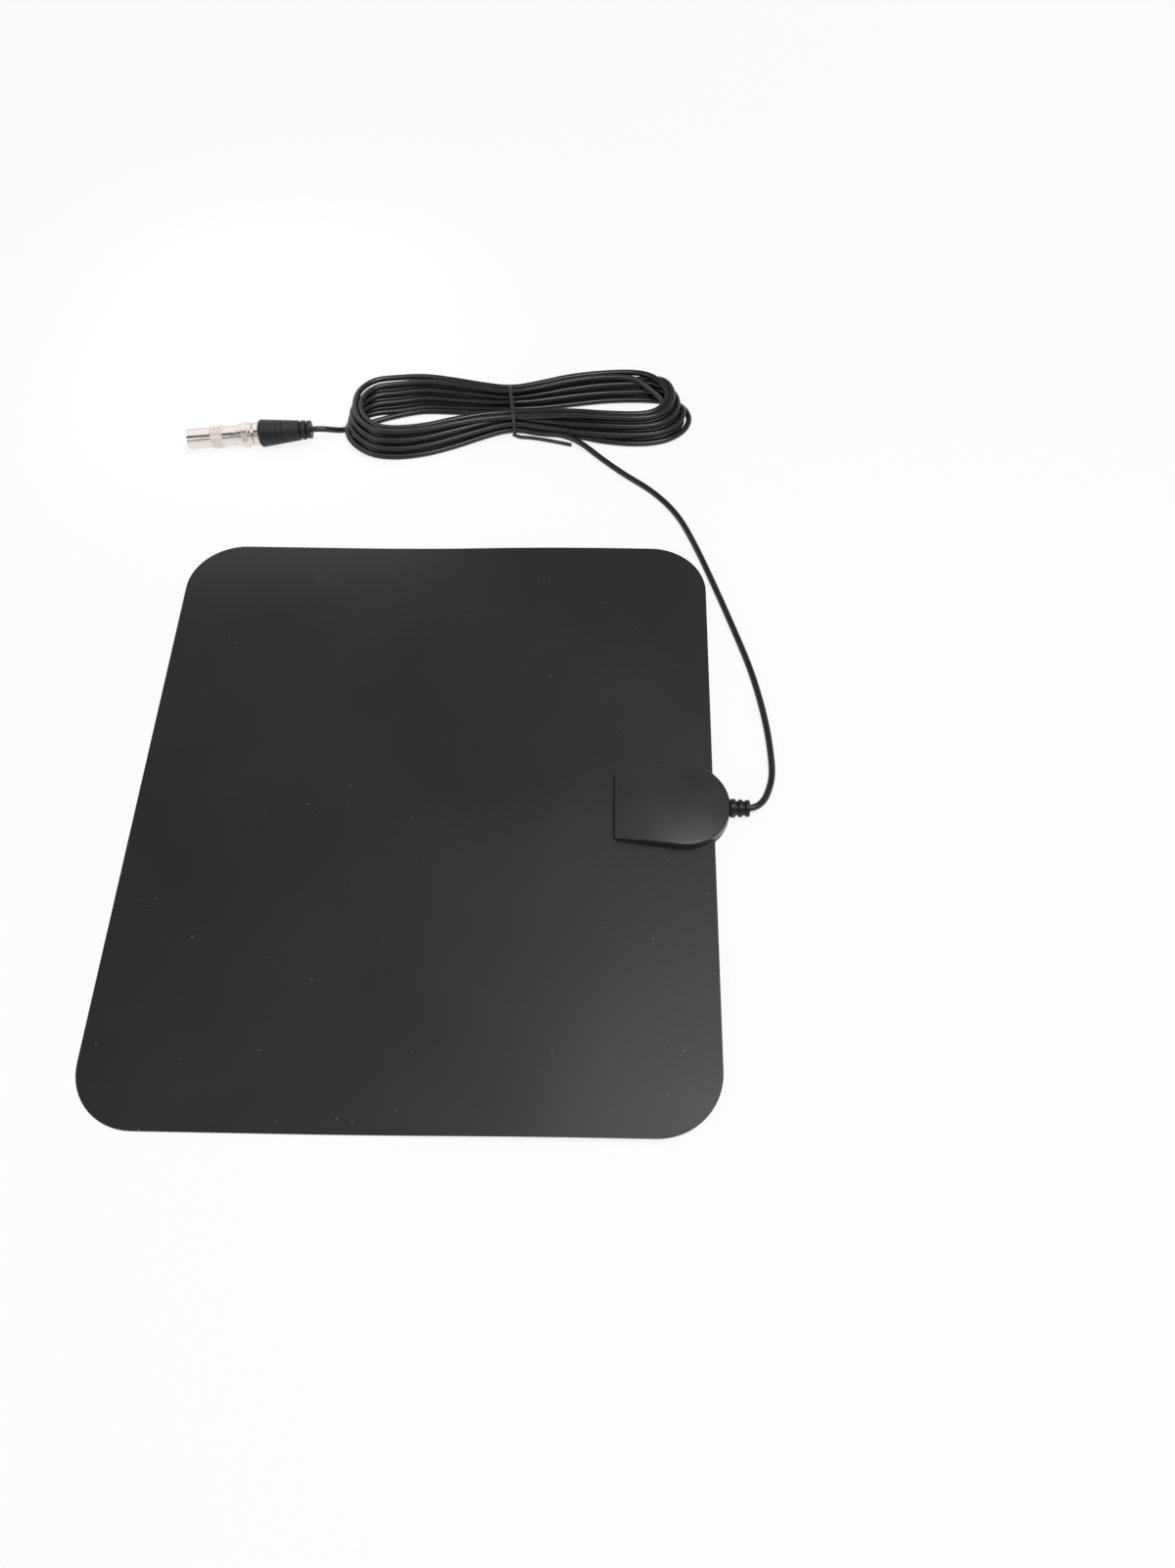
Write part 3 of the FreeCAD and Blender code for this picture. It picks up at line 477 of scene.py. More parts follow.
@dataclass
class TiedHank:
    """Route of the turns of lead in the tied hank, in millimetres.

    A station is a place along a run, or an angle round an end. A point there is given along, across and up.

    Attributes:
        tie_x: Middle of the tie in the part's frame, across the object.
        tie_y: Middle of the tie in the part's frame, away from the viewer.
        turn_deg: Turn of the hank about the vertical.
        pitch: Distance between strands side by side.
        rise: Height from layer to layer.
        floor_z: Height of a strand that lies on the floor.
        tie_z: Height of the lowest strand in the tie.
        left_middle: Place along the hank where the left end starts.
        right_middle: Place along the hank where the right end starts.
        left_reach: Length of the left end of the lowest outer strand.
        right_reach: Length of the right end of the lowest outer strand.
        left_step: Length that each layer takes off the left end.
        right_step: Length that each layer takes off the right end.
        fullness: Width of the ends against the width between the runs.
        looseness: Difference in reach between the turns at the ends.
        wobble: How far a strand strays sideways on its runs.
    """

    tie_x: float = 17.5
    tie_y: float = 217.5
    turn_deg: float = 4.0
    pitch: float = 2.8
    rise: float = 2.8
    floor_z: float = 1.45
    tie_z: float = 3.35
    left_middle: int = -56
    right_middle: int = 60
    left_reach: float = 23.4
    right_reach: float = 26.0
    left_step: float = 1.25
    right_step: float = 2.6
    fullness: float = 1.06
    looseness: float = 0.2
    wobble: float = 0.2

    # Slots in the order of the turns: the lead goes in at the first and the tail leaves the last.
    SLOTS: ClassVar[tuple[Slot, ...]] = (
        Slot(0, 1), Slot(0, 0), Slot(1, 1), Slot(1, 0), Slot(2, 0), Slot(2, 1), Slot(3, 1), Slot(3, 0),
    )
    # Where the lead comes in at the foot of the near run: places along, across and up.
    ENTRY: ClassVar[tuple[Point, ...]] = ((31.5, -20.4, 2.7), (23.0, -16.4, 3.7))
    # Across-place of the lowest outer strand, and how far each layer leans to the far side, by station.
    NEAR_RUN: ClassVar[dict[int, tuple[float, float]]] = {
        -56: (-25.6, 2.6), -42: (-24.0, 2.4), -28: (-19.6, 2.3), -14: (-14.5, 2.3), 0: (-11.0, 2.0),
        14: (-14.4, 2.3), 28: (-17.8, 2.65), 44: (-20.6, 2.65), 60: (-22.4, 2.75),
    }
    FAR_RUN: ClassVar[dict[int, tuple[float, float]]] = {
        -56: (5.2, 3.2), -42: (8.0, 2.8), -28: (6.1, 2.7), -14: (4.0, 2.43), 0: (2.2, 2.3),
        14: (3.4, 2.5), 28: (5.9, 2.47), 44: (7.8, 2.43), 60: (7.5, 2.53),
    }
    # Strands packed in the tie: place across from the first strand, and height above it.
    NEAR_PACK: ClassVar[dict[Slot, tuple[float, float]]] = {
        Slot(0, 1): (0.0, 0.0), Slot(0, 0): (2.9, 0.0), Slot(1, 1): (1.45, 2.45), Slot(1, 0): (5.8, 0.0),
        Slot(2, 1): (4.35, 2.45), Slot(2, 0): (7.25, 2.45), Slot(3, 1): (2.9, 4.9), Slot(3, 0): (5.8, 4.9),
    }
    FAR_PACK: ClassVar[dict[Slot, tuple[float, float]]] = {
        Slot(0, 0): (0.0, 0.0), Slot(0, 1): (2.9, 0.0), Slot(1, 0): (1.45, 2.45), Slot(1, 1): (5.8, 0.0),
        Slot(2, 0): (4.35, 2.45), Slot(2, 1): (7.25, 2.45), Slot(3, 0): (5.8, 4.9), Slot(3, 1): (8.7, 4.9),
    }
    # Share of the tie's packing that a run has at this distance from the tie.
    PACKED: ClassVar[dict[int, float]] = {0: 1.0, 14: 0.5, 28: 0.08}
    # Wave of the turns' slack: radians for each turn, and at the first one.
    SLACK_WAVE: ClassVar[tuple[float, float]] = (2.4, 0.7)
    # Wave of a strand's stray: radians for each turn, and for each millimetre along.
    STRAY_WAVE: ClassVar[tuple[float, float]] = (2.1, 0.09)
    # Distance from the tie over which the stray grows.
    STRAY_START: ClassVar[float] = 28.0
    # Lift of the left end by its angle, where it passes over the tail, and the share of it in each layer.
    LEFT_LIFT: ClassVar[dict[int, float]] = {-60: 1.2, -30: 2.6, 0: 2.9, 30: 2.2, 60: 1.0}
    LIFT_SHARE: ClassVar[tuple[float, ...]] = (1.0, 0.83, 0.62, 0.41)
    # The loose strand at the upper left: its shift along and across, by station.
    LOOSE_SLOT: ClassVar[Slot] = Slot(3, 1)
    LOOSE_SHIFT: ClassVar[dict[tuple[Side, int], tuple[float, float]]] = {
        (Side.LEFT, 0): (0.6, 0.4), (Side.LEFT, 30): (-0.4, 1.3), (Side.LEFT, 60): (-0.3, 2.0),
        (Side.FAR, -56): (0.0, 1.7), (Side.FAR, -42): (0.0, 0.6),
    }
    # Stations of a turn: those where it keeps its slot, then those where it may move on to the next.
    KEPT: ClassVar[tuple[tuple[Side, int], ...]] = (
        *((Side.NEAR, u) for u in (0, -14, -28, -42, -56)),
        *((Side.LEFT, angle) for angle in (-60, -30, 0, 30, 60)),
        *((Side.FAR, u) for u in (-56, -42, -28, -14, 0)),
    )
    MOVING: ClassVar[tuple[tuple[Side, int], ...]] = (
        *((Side.FAR, u) for u in (14, 28, 44, 60)),
        *((Side.RIGHT, angle) for angle in (60, 30, 0, -30, -60)),
        *((Side.NEAR, u) for u in (60, 44, 28, 14)),
    )
    # Where each turn but the last moves on: the first of its moving stations, and how many it takes.
    MOVES: ClassVar[tuple[tuple[float, float], ...]] = (
        (9.6, 1.4), (4.2, 1.9), (3.8, 1.9), (3.4, 1.9), (3.3, 1.9), (3.2, 1.9), (2.9, 1.9),
    )
    # The last turn comes down the inner slope of the right end to the lowest inner slot.
    LAST_SLOT: ClassVar[Slot] = Slot(0, 0)
    COMING_DOWN: ClassVar[dict[tuple[Side, int], Slot]] = {
        (Side.FAR, 14): Slot(3, 0), (Side.FAR, 28): Slot(3, 0), (Side.FAR, 44): Slot(3, 0),
        (Side.FAR, 60): Slot(3, -0.4), (Side.RIGHT, 60): Slot(2.1, -1.2), (Side.RIGHT, 30): Slot(0.7, -0.95),
        (Side.RIGHT, 0): Slot(0, -0.2),
    }
    # Then it leaves inwards under the near run: its place across and up, by station.
    GOING_IN: ClassVar[dict[int, tuple[float, float]]] = {
        44: (-16.9, 1.45), 28: (-9.3, 1.45), 14: (-3.9, 2.2),
    }
    # The tail's run along the far side's foot and out under the left end.
    TAIL_RUN: ClassVar[tuple[Point, ...]] = (
        (0.0, -1.5, 3.35), (-14.0, 1.1, 2.3), (-28.0, 3.4, 1.6), (-42.0, 5.0, 1.45),
        (-50.0, 3.8, 1.45), (-58.0, 1.8, 1.45), (-65.0, -0.5, 1.45),
    )

    def placed(self, station: Point) -> Point:
        """Turns a place in the hank into the part's frame.

        Args:
            station: Place along, across and up.

        Returns:
            The place in the part's frame, in millimetres.
        """
        along, across, height = station
        cosine = math.cos(math.radians(self.turn_deg))
        sine = math.sin(math.radians(self.turn_deg))
        return (
            self.tie_x + along * cosine - across * sine,
            self.tie_y + along * sine + across * cosine,
            height,
        )

    def on_run(self, side: Side, u: int, slot: Slot) -> Point:
        """Finds a strand on one of the two runs.

        Args:
            side: The near or the far run.
            u: Station along the hank.
            slot: The strand's slot.

        Returns:
            Place along, across and up.
        """
        if side is Side.NEAR:
            foot, lean = self.NEAR_RUN[u]
            columns_in = 1 - slot.column
            pack = self.NEAR_PACK.get(slot, (0.0, 0.0))
        else:
            foot, lean = self.FAR_RUN[u]
            columns_in = slot.column
            pack = self.FAR_PACK.get(slot, (0.0, 0.0))
        packed = self.PACKED.get(abs(u), 0.0)
        loose_across = lean * slot.layer + self.pitch * columns_in
        loose_height = self.floor_z + self.rise * slot.layer
        across = foot + (1 - packed) * loose_across + packed * pack[0]
        height = (1 - packed) * loose_height + packed * (self.tie_z + pack[1])
        return (float(u), across, height)

    def on_end(self, side: Side, angle: int, slot: Slot, slack: float) -> Point:
        """Finds a strand on one of the two rounded ends.

        Args:
            side: The left or the right end.
            angle: Angle round the end from its tip, in degrees, positive to the far side.
            slot: The strand's slot.
            slack: Extra reach of this turn.

        Returns:
            Place along, across and up.
        """
        leftward = side is Side.LEFT
        middle = self.left_middle if leftward else self.right_middle
        near = self.on_run(Side.NEAR, middle, slot)
        far = self.on_run(Side.FAR, middle, slot)
        reach = self.left_reach if leftward else self.right_reach
        step = self.left_step if leftward else self.right_step
        reach += slack - step * slot.layer - self.pitch * (1 - slot.column)
        lift = self.LEFT_LIFT[angle] * self.LIFT_SHARE[int(slot.layer)] if leftward else 0.0
        turn = math.radians(angle)
        along = middle + (-reach if leftward else reach) * math.cos(turn)
        across = (near[1] + far[1]) / 2 + self.fullness * (far[1] - near[1]) / 2 * math.sin(turn)
        return (along, across, near[2] + lift)

    def strand(self, side: Side, key: int, slot: Slot, slack: float) -> Point:
        """Finds a strand anywhere on its turn.

        Args:
            side: The stretch of the turn.
            key: Station along a run, or angle round an end.
            slot: The strand's slot.
            slack: Extra reach of this turn at the ends.

        Returns:
            Place along, across and up.
        """
        if side in (Side.NEAR, Side.FAR):
            return self.on_run(side, key, slot)
        return self.on_end(side, key, slot, slack)

    def turn(self, number: int) -> list[Point]:
        """Works out one turn, from the tie on the near run round to just before the tie.

        Args:
            number: The turn, from 0.

        Returns:
            Control points in the hank's own place.
        """
        slot = self.SLOTS[number]
        each, begin = self.SLACK_WAVE
        slack = self.looseness * math.sin(each * number + begin)
        points = []
        for side, key in self.KEPT:
            along, across, height = self.strand(side, key, slot, slack)
            if slot == self.LOOSE_SLOT:
                shift = self.LOOSE_SHIFT.get((side, key), (0.0, 0.0))
                along += shift[0]
                across += shift[1]
            points.append((along, across + self.stray(number, side, along), height))
        if number + 1 == len(self.SLOTS):
            return points + self.way_out(slack)
        start, span = self.MOVES[number]
        for place, (side, key) in enumerate(self.MOVING):
            done = min(1.0, max(0.0, (place - start) / span))
            moved = done * done * (3 - 2 * done)
            before = self.strand(side, key, slot, slack)
            after = self.strand(side, key, self.SLOTS[number + 1], slack)
            along, across, height = (a + (b - a) * moved for a, b in zip(before, after))
            points.append((along, across + self.stray(number, side, along), height))
        return points

    def stray(self, number: int, side: Side, along: float) -> float:
        """Works out how far a strand strays sideways, which is nothing in the tie and at the ends.

        Args:
            number: The turn, from 0.
            side: The stretch of the turn.
            along: Place along the hank.

        Returns:
            The shift across.
        """
        if side in (Side.LEFT, Side.RIGHT):
            return 0.0
        each_turn, each_mm = self.STRAY_WAVE
        grown = min(1.0, abs(along) / self.STRAY_START)
        return self.wobble * math.sin(each_turn * number + each_mm * along) * grown

    def way_out(self, slack: float) -> list[Point]:
        """Works out how the last turn leaves the others.

        Args:
            slack: Extra reach of this turn at the ends.

        Returns:
            Control points in the hank's own place.
        """
        points = []
        for side, key in self.MOVING:
            if side is Side.NEAR and key in self.GOING_IN:
                points.append((float(key), *self.GOING_IN[key]))
            else:
                slot = self.COMING_DOWN.get((side, key), self.LAST_SLOT)
                points.append(self.strand(side, key, slot, slack))
        return points

    def points(self) -> list[Point]:
        """Works out the whole hank, from where the lead joins it to where the tail leaves it.

        Returns:
            Control points in the part's frame, in millimetres.
        """
        route = [*self.ENTRY, self.on_run(Side.NEAR, 14, self.SLOTS[0])]
        for number in range(len(self.SLOTS)):
            route += self.turn(number)
        route += self.TAIL_RUN
        return [self.placed(station) for station in route]


def round_curve(
    name: str, radius: float, fineness: int, route: list[Point],
) -> tuple[bpy.types.Object, bpy.types.Spline]:
    """Draws a round cord or wire along a route.

    Args:
        name: Name of the cord or wire.
        radius: Its radius, in millimetres.
        fineness: Steps from one point of the route to the next.
        route: Control points in the part's frame, in millimetres.

    Returns:
        The cord or wire, and its one spline.
    """
    curve = bpy.data.curves.new(name, "CURVE")
    curve.dimensions = "3D"
    curve.resolution_u = fineness
    curve.bevel_depth = radius * MM
    curve.bevel_resolution = BEVEL_RESOLUTION
    curve.use_fill_caps = True
    spline = curve.splines.new("NURBS")
    spline.points.add(len(route) - 1)
    for point, place in zip(spline.points, route):
        point.co = (*(Vector(place) * MM), 1.0)
    drawn = bpy.data.objects.new(name, curve)
    bpy.context.collection.objects.link(drawn)
    return drawn, spline


@dataclass
class AerialLead:
    """The thin coaxial lead: one length from the housing, through the hank, to the plug.

    Attributes:
        hank: Route of the tied hank.
        diameter: Outer diameter of the jacket, in millimetres.
        length: Real length of the lead, in metres.
        exit: Where the lead leaves the strain relief, in millimetres.
    """

    hank: TiedHank
    diameter: float = 2.8
    length: float = 3.1
    exit: Point = (122.0, -1.5, 3.8)

    FINENESS: ClassVar[int] = 6
    # Height of the lead's middle where it lies on the surface.
    FLOOR: ClassVar[float] = 1.45
    # From the strain relief, along the surface and up onto the hank.
    LEAD_RUN: ClassVar[tuple[Point, ...]] = (
        (120.0, -1.5, 3.8), (123.7, -1.5, 3.8), (128.0, 2.4, 2.8), (130.4, 8.0, 2.0), (132.2, 14.6, FLOOR),
        (132.4, 24.0, FLOOR), (131.0, 42.0, FLOOR), (126.6, 66.0, FLOOR), (119.4, 90.0, FLOOR),
        (111.8, 114.0, FLOOR), (104.0, 137.0, FLOOR), (96.6, 155.0, FLOOR), (85.4, 169.0, FLOOR),
        (71.6, 179.6, FLOOR), (60.4, 189.6, 1.9),
    )
    # From the hank up into the plug's boot.
    TAIL_RUN: ClassVar[tuple[Point, ...]] = (
        (-52.6, 210.2, FLOOR), (-58.6, 207.3, FLOOR), (-63.8, 204.6, 2.4), (-68.2, 202.0, 5.3),
        (-72.82, 200.13, 7.655), (-78.79, 199.63, 7.376),
    )
    REPLACED: ClassVar[tuple[str, ...]] = ("cable_lead", "cable_hank", "cable_tail")
    PLUG_NODES: ClassVar[tuple[str, ...]] = ("plug_boot", "plug_ferrule", "coupling_nut", "adapter_body")

    def build(self, finish: bpy.types.Material, ridges: bpy.types.Object) -> bpy.types.Object:
        """Args:
            finish: The jacket's material.
            ridges: The ring of ridges on the plug's grip. Not used.

        Returns:
            The lead.
        """
        route = [*self.LEAD_RUN, *self.hank.points(), *self.TAIL_RUN]
        lead, spline = round_curve("aerial_lead", self.diameter / 2, self.FINENESS, route)
        spline.order_u = 3
        spline.use_endpoint_u = True
        lead.data.materials.append(finish)
        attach(lead, ROOT_BODY)
        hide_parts(*self.REPLACED)
        return lead


@dataclass
class TwistTie:
    """The plastic-coated wire tie round the middle of the hank.

    Attributes:
        hank: The hank that it holds.
        radius: Radius of the coated wire, in millimetres.
    """

    hank: TiedHank
    radius: float = 0.9

    FINENESS: ClassVar[int] = 8
    # Angle between faces, in degrees, up to which the coating is shaded smooth.
    SMOOTH_DEG: ClassVar[float] = 40.0
    # Round the hank: place along, across and up.
    LOOP: ClassVar[tuple[Point, ...]] = (
        (0.6, -8.0, 0.95), (0.2, 2.0, 0.95), (-0.2, 10.0, 1.1), (-0.5, 13.2, 4.0), (-0.6, 13.0, 8.6),
        (-0.4, 9.0, 10.7), (0.0, 0.0, 10.6), (0.4, -7.0, 10.0), (0.7, -11.4, 7.8), (0.9, -13.6, 4.2),
        (0.8, -12.6, 1.3),
    )
    # The twisted ends on the surface, in the part's frame.
    ENDS: ClassVar[tuple[Point, ...]] = (
        (18.5, 204.6, 1.6), (21.0, 203.2, 1.0), (26.0, 203.2, 0.95), (35.4, 201.5, 0.95), (46.6, 198.6, 0.95),
    )

    def wire(self, name: str, route: list[Point], closed: bool) -> bpy.types.Object:
        """Draws a stretch of wire and makes it a mesh.

        Args:
            name: The stretch's name.
            route: Control points in the part's frame, in millimetres.
            closed: Whether the stretch is a loop.

        Returns:
            The stretch as a mesh object.
        """
        stretch, spline = round_curve(name, self.radius, self.FINENESS, route)
        spline.order_u = 3
        spline.use_endpoint_u = not closed
        spline.use_cyclic_u = closed
        only(stretch)
        bpy.ops.object.convert(target="MESH")
        return bpy.context.object

    def build(self, finish: bpy.types.Material) -> bpy.types.Object:
        """Builds the tie's loop and its ends as one piece.

        Args:
            finish: The coating's material.

        Returns:
            The tie.
        """
        loop = self.wire("wire_tie", [self.hank.placed(place) for place in self.LOOP], closed=True)
        ends = self.wire("wire_tie_ends", list(self.ENDS), closed=False)
        only(loop, ends)
        bpy.ops.object.join()
        bpy.ops.object.shade_smooth_by_angle(angle=math.radians(self.SMOOTH_DEG))
        loop.data.materials.append(finish)
        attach(loop, ROOT_BODY)
        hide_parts("twist_tie")
        return loop


def only(*objects: bpy.types.Object) -> None:
    """Selects these objects alone.

    Args:
        objects: What to select; the first one becomes active.
    """
    bpy.ops.object.select_all(action="DESELECT")
    for item in objects:
        item.select_set(True)
    bpy.context.view_layer.objects.active = objects[0]


def dress(finish: bpy.types.Material, *names: str) -> None:
    """Gives a material to solids of the frame.

    Args:
        finish: The material.
        names: Names of the solids.
    """
    for name in names:
        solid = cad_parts[name]
        solid.data.materials.clear()
        solid.data.materials.append(finish)
        LOG.info("%s is finished in %s", name, finish.name)


@dataclass
class FilmSheet:
    """The flat sheet: two black films with the foil plates between them."""

    film: PlasticFinish = PlasticFinish(
        "satin_black_film", (0.0095, 0.0095, 0.0098, 1.0), (0.0122, 0.0122, 0.0125, 1.0), (0.42, 0.47),
        grain=4200.0, bump=0.05, drift=14.0, dust=190.0, speck=0.1,
    )
    foil: MetalFinish = MetalFinish(
        "aluminium_foil", (0.78, 0.79, 0.8, 1.0), (0.68, 0.69, 0.7, 1.0), (0.3, 0.42),
    )

    def finish(self, groups: SharedGroups) -> None:
        """Dresses the films and the foil plates."""
        dress(self.film.material(groups), "front_film", "back_film")
        dress(self.foil.material(groups), "far_foil_plate", "near_foil_plate")


@dataclass
class FeedHousing:
    """The moulded housing on the sheet's edge, what it holds, and the strain relief."""

    covers: PlasticFinish = PlasticFinish(
        "moulded_black_cover", (0.0205, 0.0205, 0.021, 1.0), (0.024, 0.024, 0.0245, 1.0), (0.31, 0.37),
        grain=5200.0, bump=0.06, drift=40.0, dust=300.0, speck=0.07,
    )
    soft: PlasticFinish = PlasticFinish(
        "soft_black_rubber", (0.006, 0.006, 0.0064, 1.0), (0.0085, 0.0085, 0.009, 1.0), (0.4, 0.48),
        grain=4600.0, bump=0.08, drift=60.0, dust=300.0, speck=0.04, gloss=0.4,
    )
    board: PlasticFinish = PlasticFinish(
        "coated_circuit_board", (0.012, 0.085, 0.04, 1.0), (0.016, 0.11, 0.05, 1.0), (0.3, 0.4),
        grain=900.0, bump=0.15, drift=120.0,
    )
    ferrite: PlasticFinish = PlasticFinish(
        "sintered_ferrite", (0.035, 0.034, 0.033, 1.0), (0.05, 0.048, 0.046, 1.0), (0.55, 0.7),
        grain=3200.0, bump=0.5, drift=200.0,
    )
    insulation: PlasticFinish = PlasticFinish(
        "white_insulation", (0.78, 0.77, 0.74, 1.0), (0.84, 0.83, 0.8, 1.0), (0.4, 0.5),
        grain=1600.0, bump=0.15, drift=150.0,
    )
    brass: MetalFinish = MetalFinish(
        "contact_brass", (0.72, 0.53, 0.25, 1.0), (0.6, 0.43, 0.2, 1.0), (0.25, 0.4),
    )
    copper: MetalFinish = MetalFinish(
        "bare_copper", (0.77, 0.42, 0.29, 1.0), (0.62, 0.33, 0.22, 1.0), (0.25, 0.4),
    )

    def finish(self, groups: SharedGroups) -> None:
        """Dresses the covers, the soft sleeves, and the parts inside the housing and the plug.

        Args:
            groups: The shared node groups.
        """
        dress(self.covers.material(groups), "housing_top_cover", "housing_bottom_cover")
        dress(self.soft.material(groups), "strain_relief", "plug_boot")
        dress(self.board.material(groups), "matching_board")
        dress(self.ferrite.material(groups), "balun_core")
        dress(self.brass.material(groups), "feed_rivets")
        dress(self.copper.material(groups), "cable_conductor", "braid_tail", "plug_centre_wire")
        dress(
            self.insulation.material(groups),
            "cable_dielectric", "plug_dielectric", "adapter_front_insulator", "adapter_rear_insulator",
        )


@dataclass
class GripRidges:
    """The straight ridges rolled into the adapter's grip band, in millimetres.

    Attributes:
        axis: Where the plug lies.
        middle: Middle of the band along the plug.
        length: Length of the ridges at their full height.
        run_out: Length over which they run out at each end.
        tip: Radius of the ridges' tips.
        valley: Radius between the ridges, just under the band's own surface.
        foot: Radius of the tips' ends, against their radius at full height.
        count: Ridges round the band.
    """

    axis: PlugAxis
    middle: float = 44.5
    length: float = 4.9
    run_out: float = 0.25
    tip: float = 5.22
    valley: float = 5.02
    foot: float = 0.942
    count: int = 60

    def build(self, finish: bpy.types.Material) -> bpy.types.Object:
        """Shapes the ridges on an open tube, closes it inside the band and lays it along the plug.

        Args:
            finish: The metal's material.

        Returns:
            The ring of ridges.
        """
        bpy.ops.object.select_all(action="DESELECT")
        bpy.ops.mesh.primitive_cylinder_add(
            vertices=2 * self.count, radius=self.tip * MM, depth=self.length * MM, end_fill_type="NOTHING",
        )
        ring = bpy.context.object
        ring.name = "grip_ridges"
        bpy.ops.object.mode_set(mode="EDIT")
        bpy.ops.mesh.select_mode(type="VERT")
        bpy.ops.mesh.select_all(action="DESELECT")
        edited = bmesh.from_edit_mesh(ring.data)
        for vertex in edited.verts:
            step = round(math.atan2(vertex.co.y, vertex.co.x) / math.pi * self.count)
            vertex.select_set(step % 2 == 1)
        bmesh.update_edit_mesh(ring.data)
        deeper = self.valley / self.tip
        bpy.ops.transform.resize(value=(deeper, deeper, 1.0), center_override=ORIGIN)
        bpy.ops.mesh.select_all(action="DESELECT")
        bpy.ops.mesh.select_mode(type="EDGE")
        bpy.ops.mesh.select_non_manifold()
        bpy.ops.mesh.extrude_edges_indiv()
        longer = 1 + 2 * self.run_out / self.length
        bpy.ops.transform.resize(value=(self.foot, self.foot, longer), center_override=ORIGIN)
        bpy.ops.mesh.bridge_edge_loops()
        bpy.ops.mesh.select_all(action="SELECT")
        bpy.ops.mesh.normals_make_consistent(inside=False)
        bpy.ops.object.mode_set(mode="OBJECT")
        turn = self.axis.along.to_track_quat("Z", "Y").to_matrix().to_4x4()
        ring.matrix_world = Matrix.Translation(self.axis.start + self.axis.along * self.middle * MM) @ turn
        bpy.ops.object.transform_apply(location=True, rotation=True, scale=True)
        ring.data.materials.append(finish)
        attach(ring, ADAPTER_BODY)
        return ring


@dataclass
class AerialPlug:
    """The screw coupling and the round aerial adapter at the lead's far end."""

    bright: MetalFinish = MetalFinish(
        "bright_nickel", (0.82, 0.76, 0.72, 1.0), (0.74, 0.68, 0.64, 1.0), (0.16, 0.24),
        rings=9.0, ring_bump=0.25,
    )
    gripped: MetalFinish = MetalFinish(
        "knurled_nickel", (0.82, 0.76, 0.72, 1.0), (0.74, 0.68, 0.64, 1.0), (0.16, 0.24),
        rings=9.0, ring_bump=0.25, grip=(41.65, 47.35),
    )

    def finish(self, groups: SharedGroups) -> bpy.types.Object:
        """Dresses the metal of the plug and the adapter, and rolls the ridges into its grip.

        Args:
            groups: The shared node groups.

        Returns:
            The ring of ridges.
        """
        dress(self.bright.material(groups), "plug_ferrule", "coupling_nut", "adapter_pin")
        knurled = self.gripped.material(groups)
        dress(knurled, "adapter_body")
        return GripRidges(PlugAxis()).build(knurled)


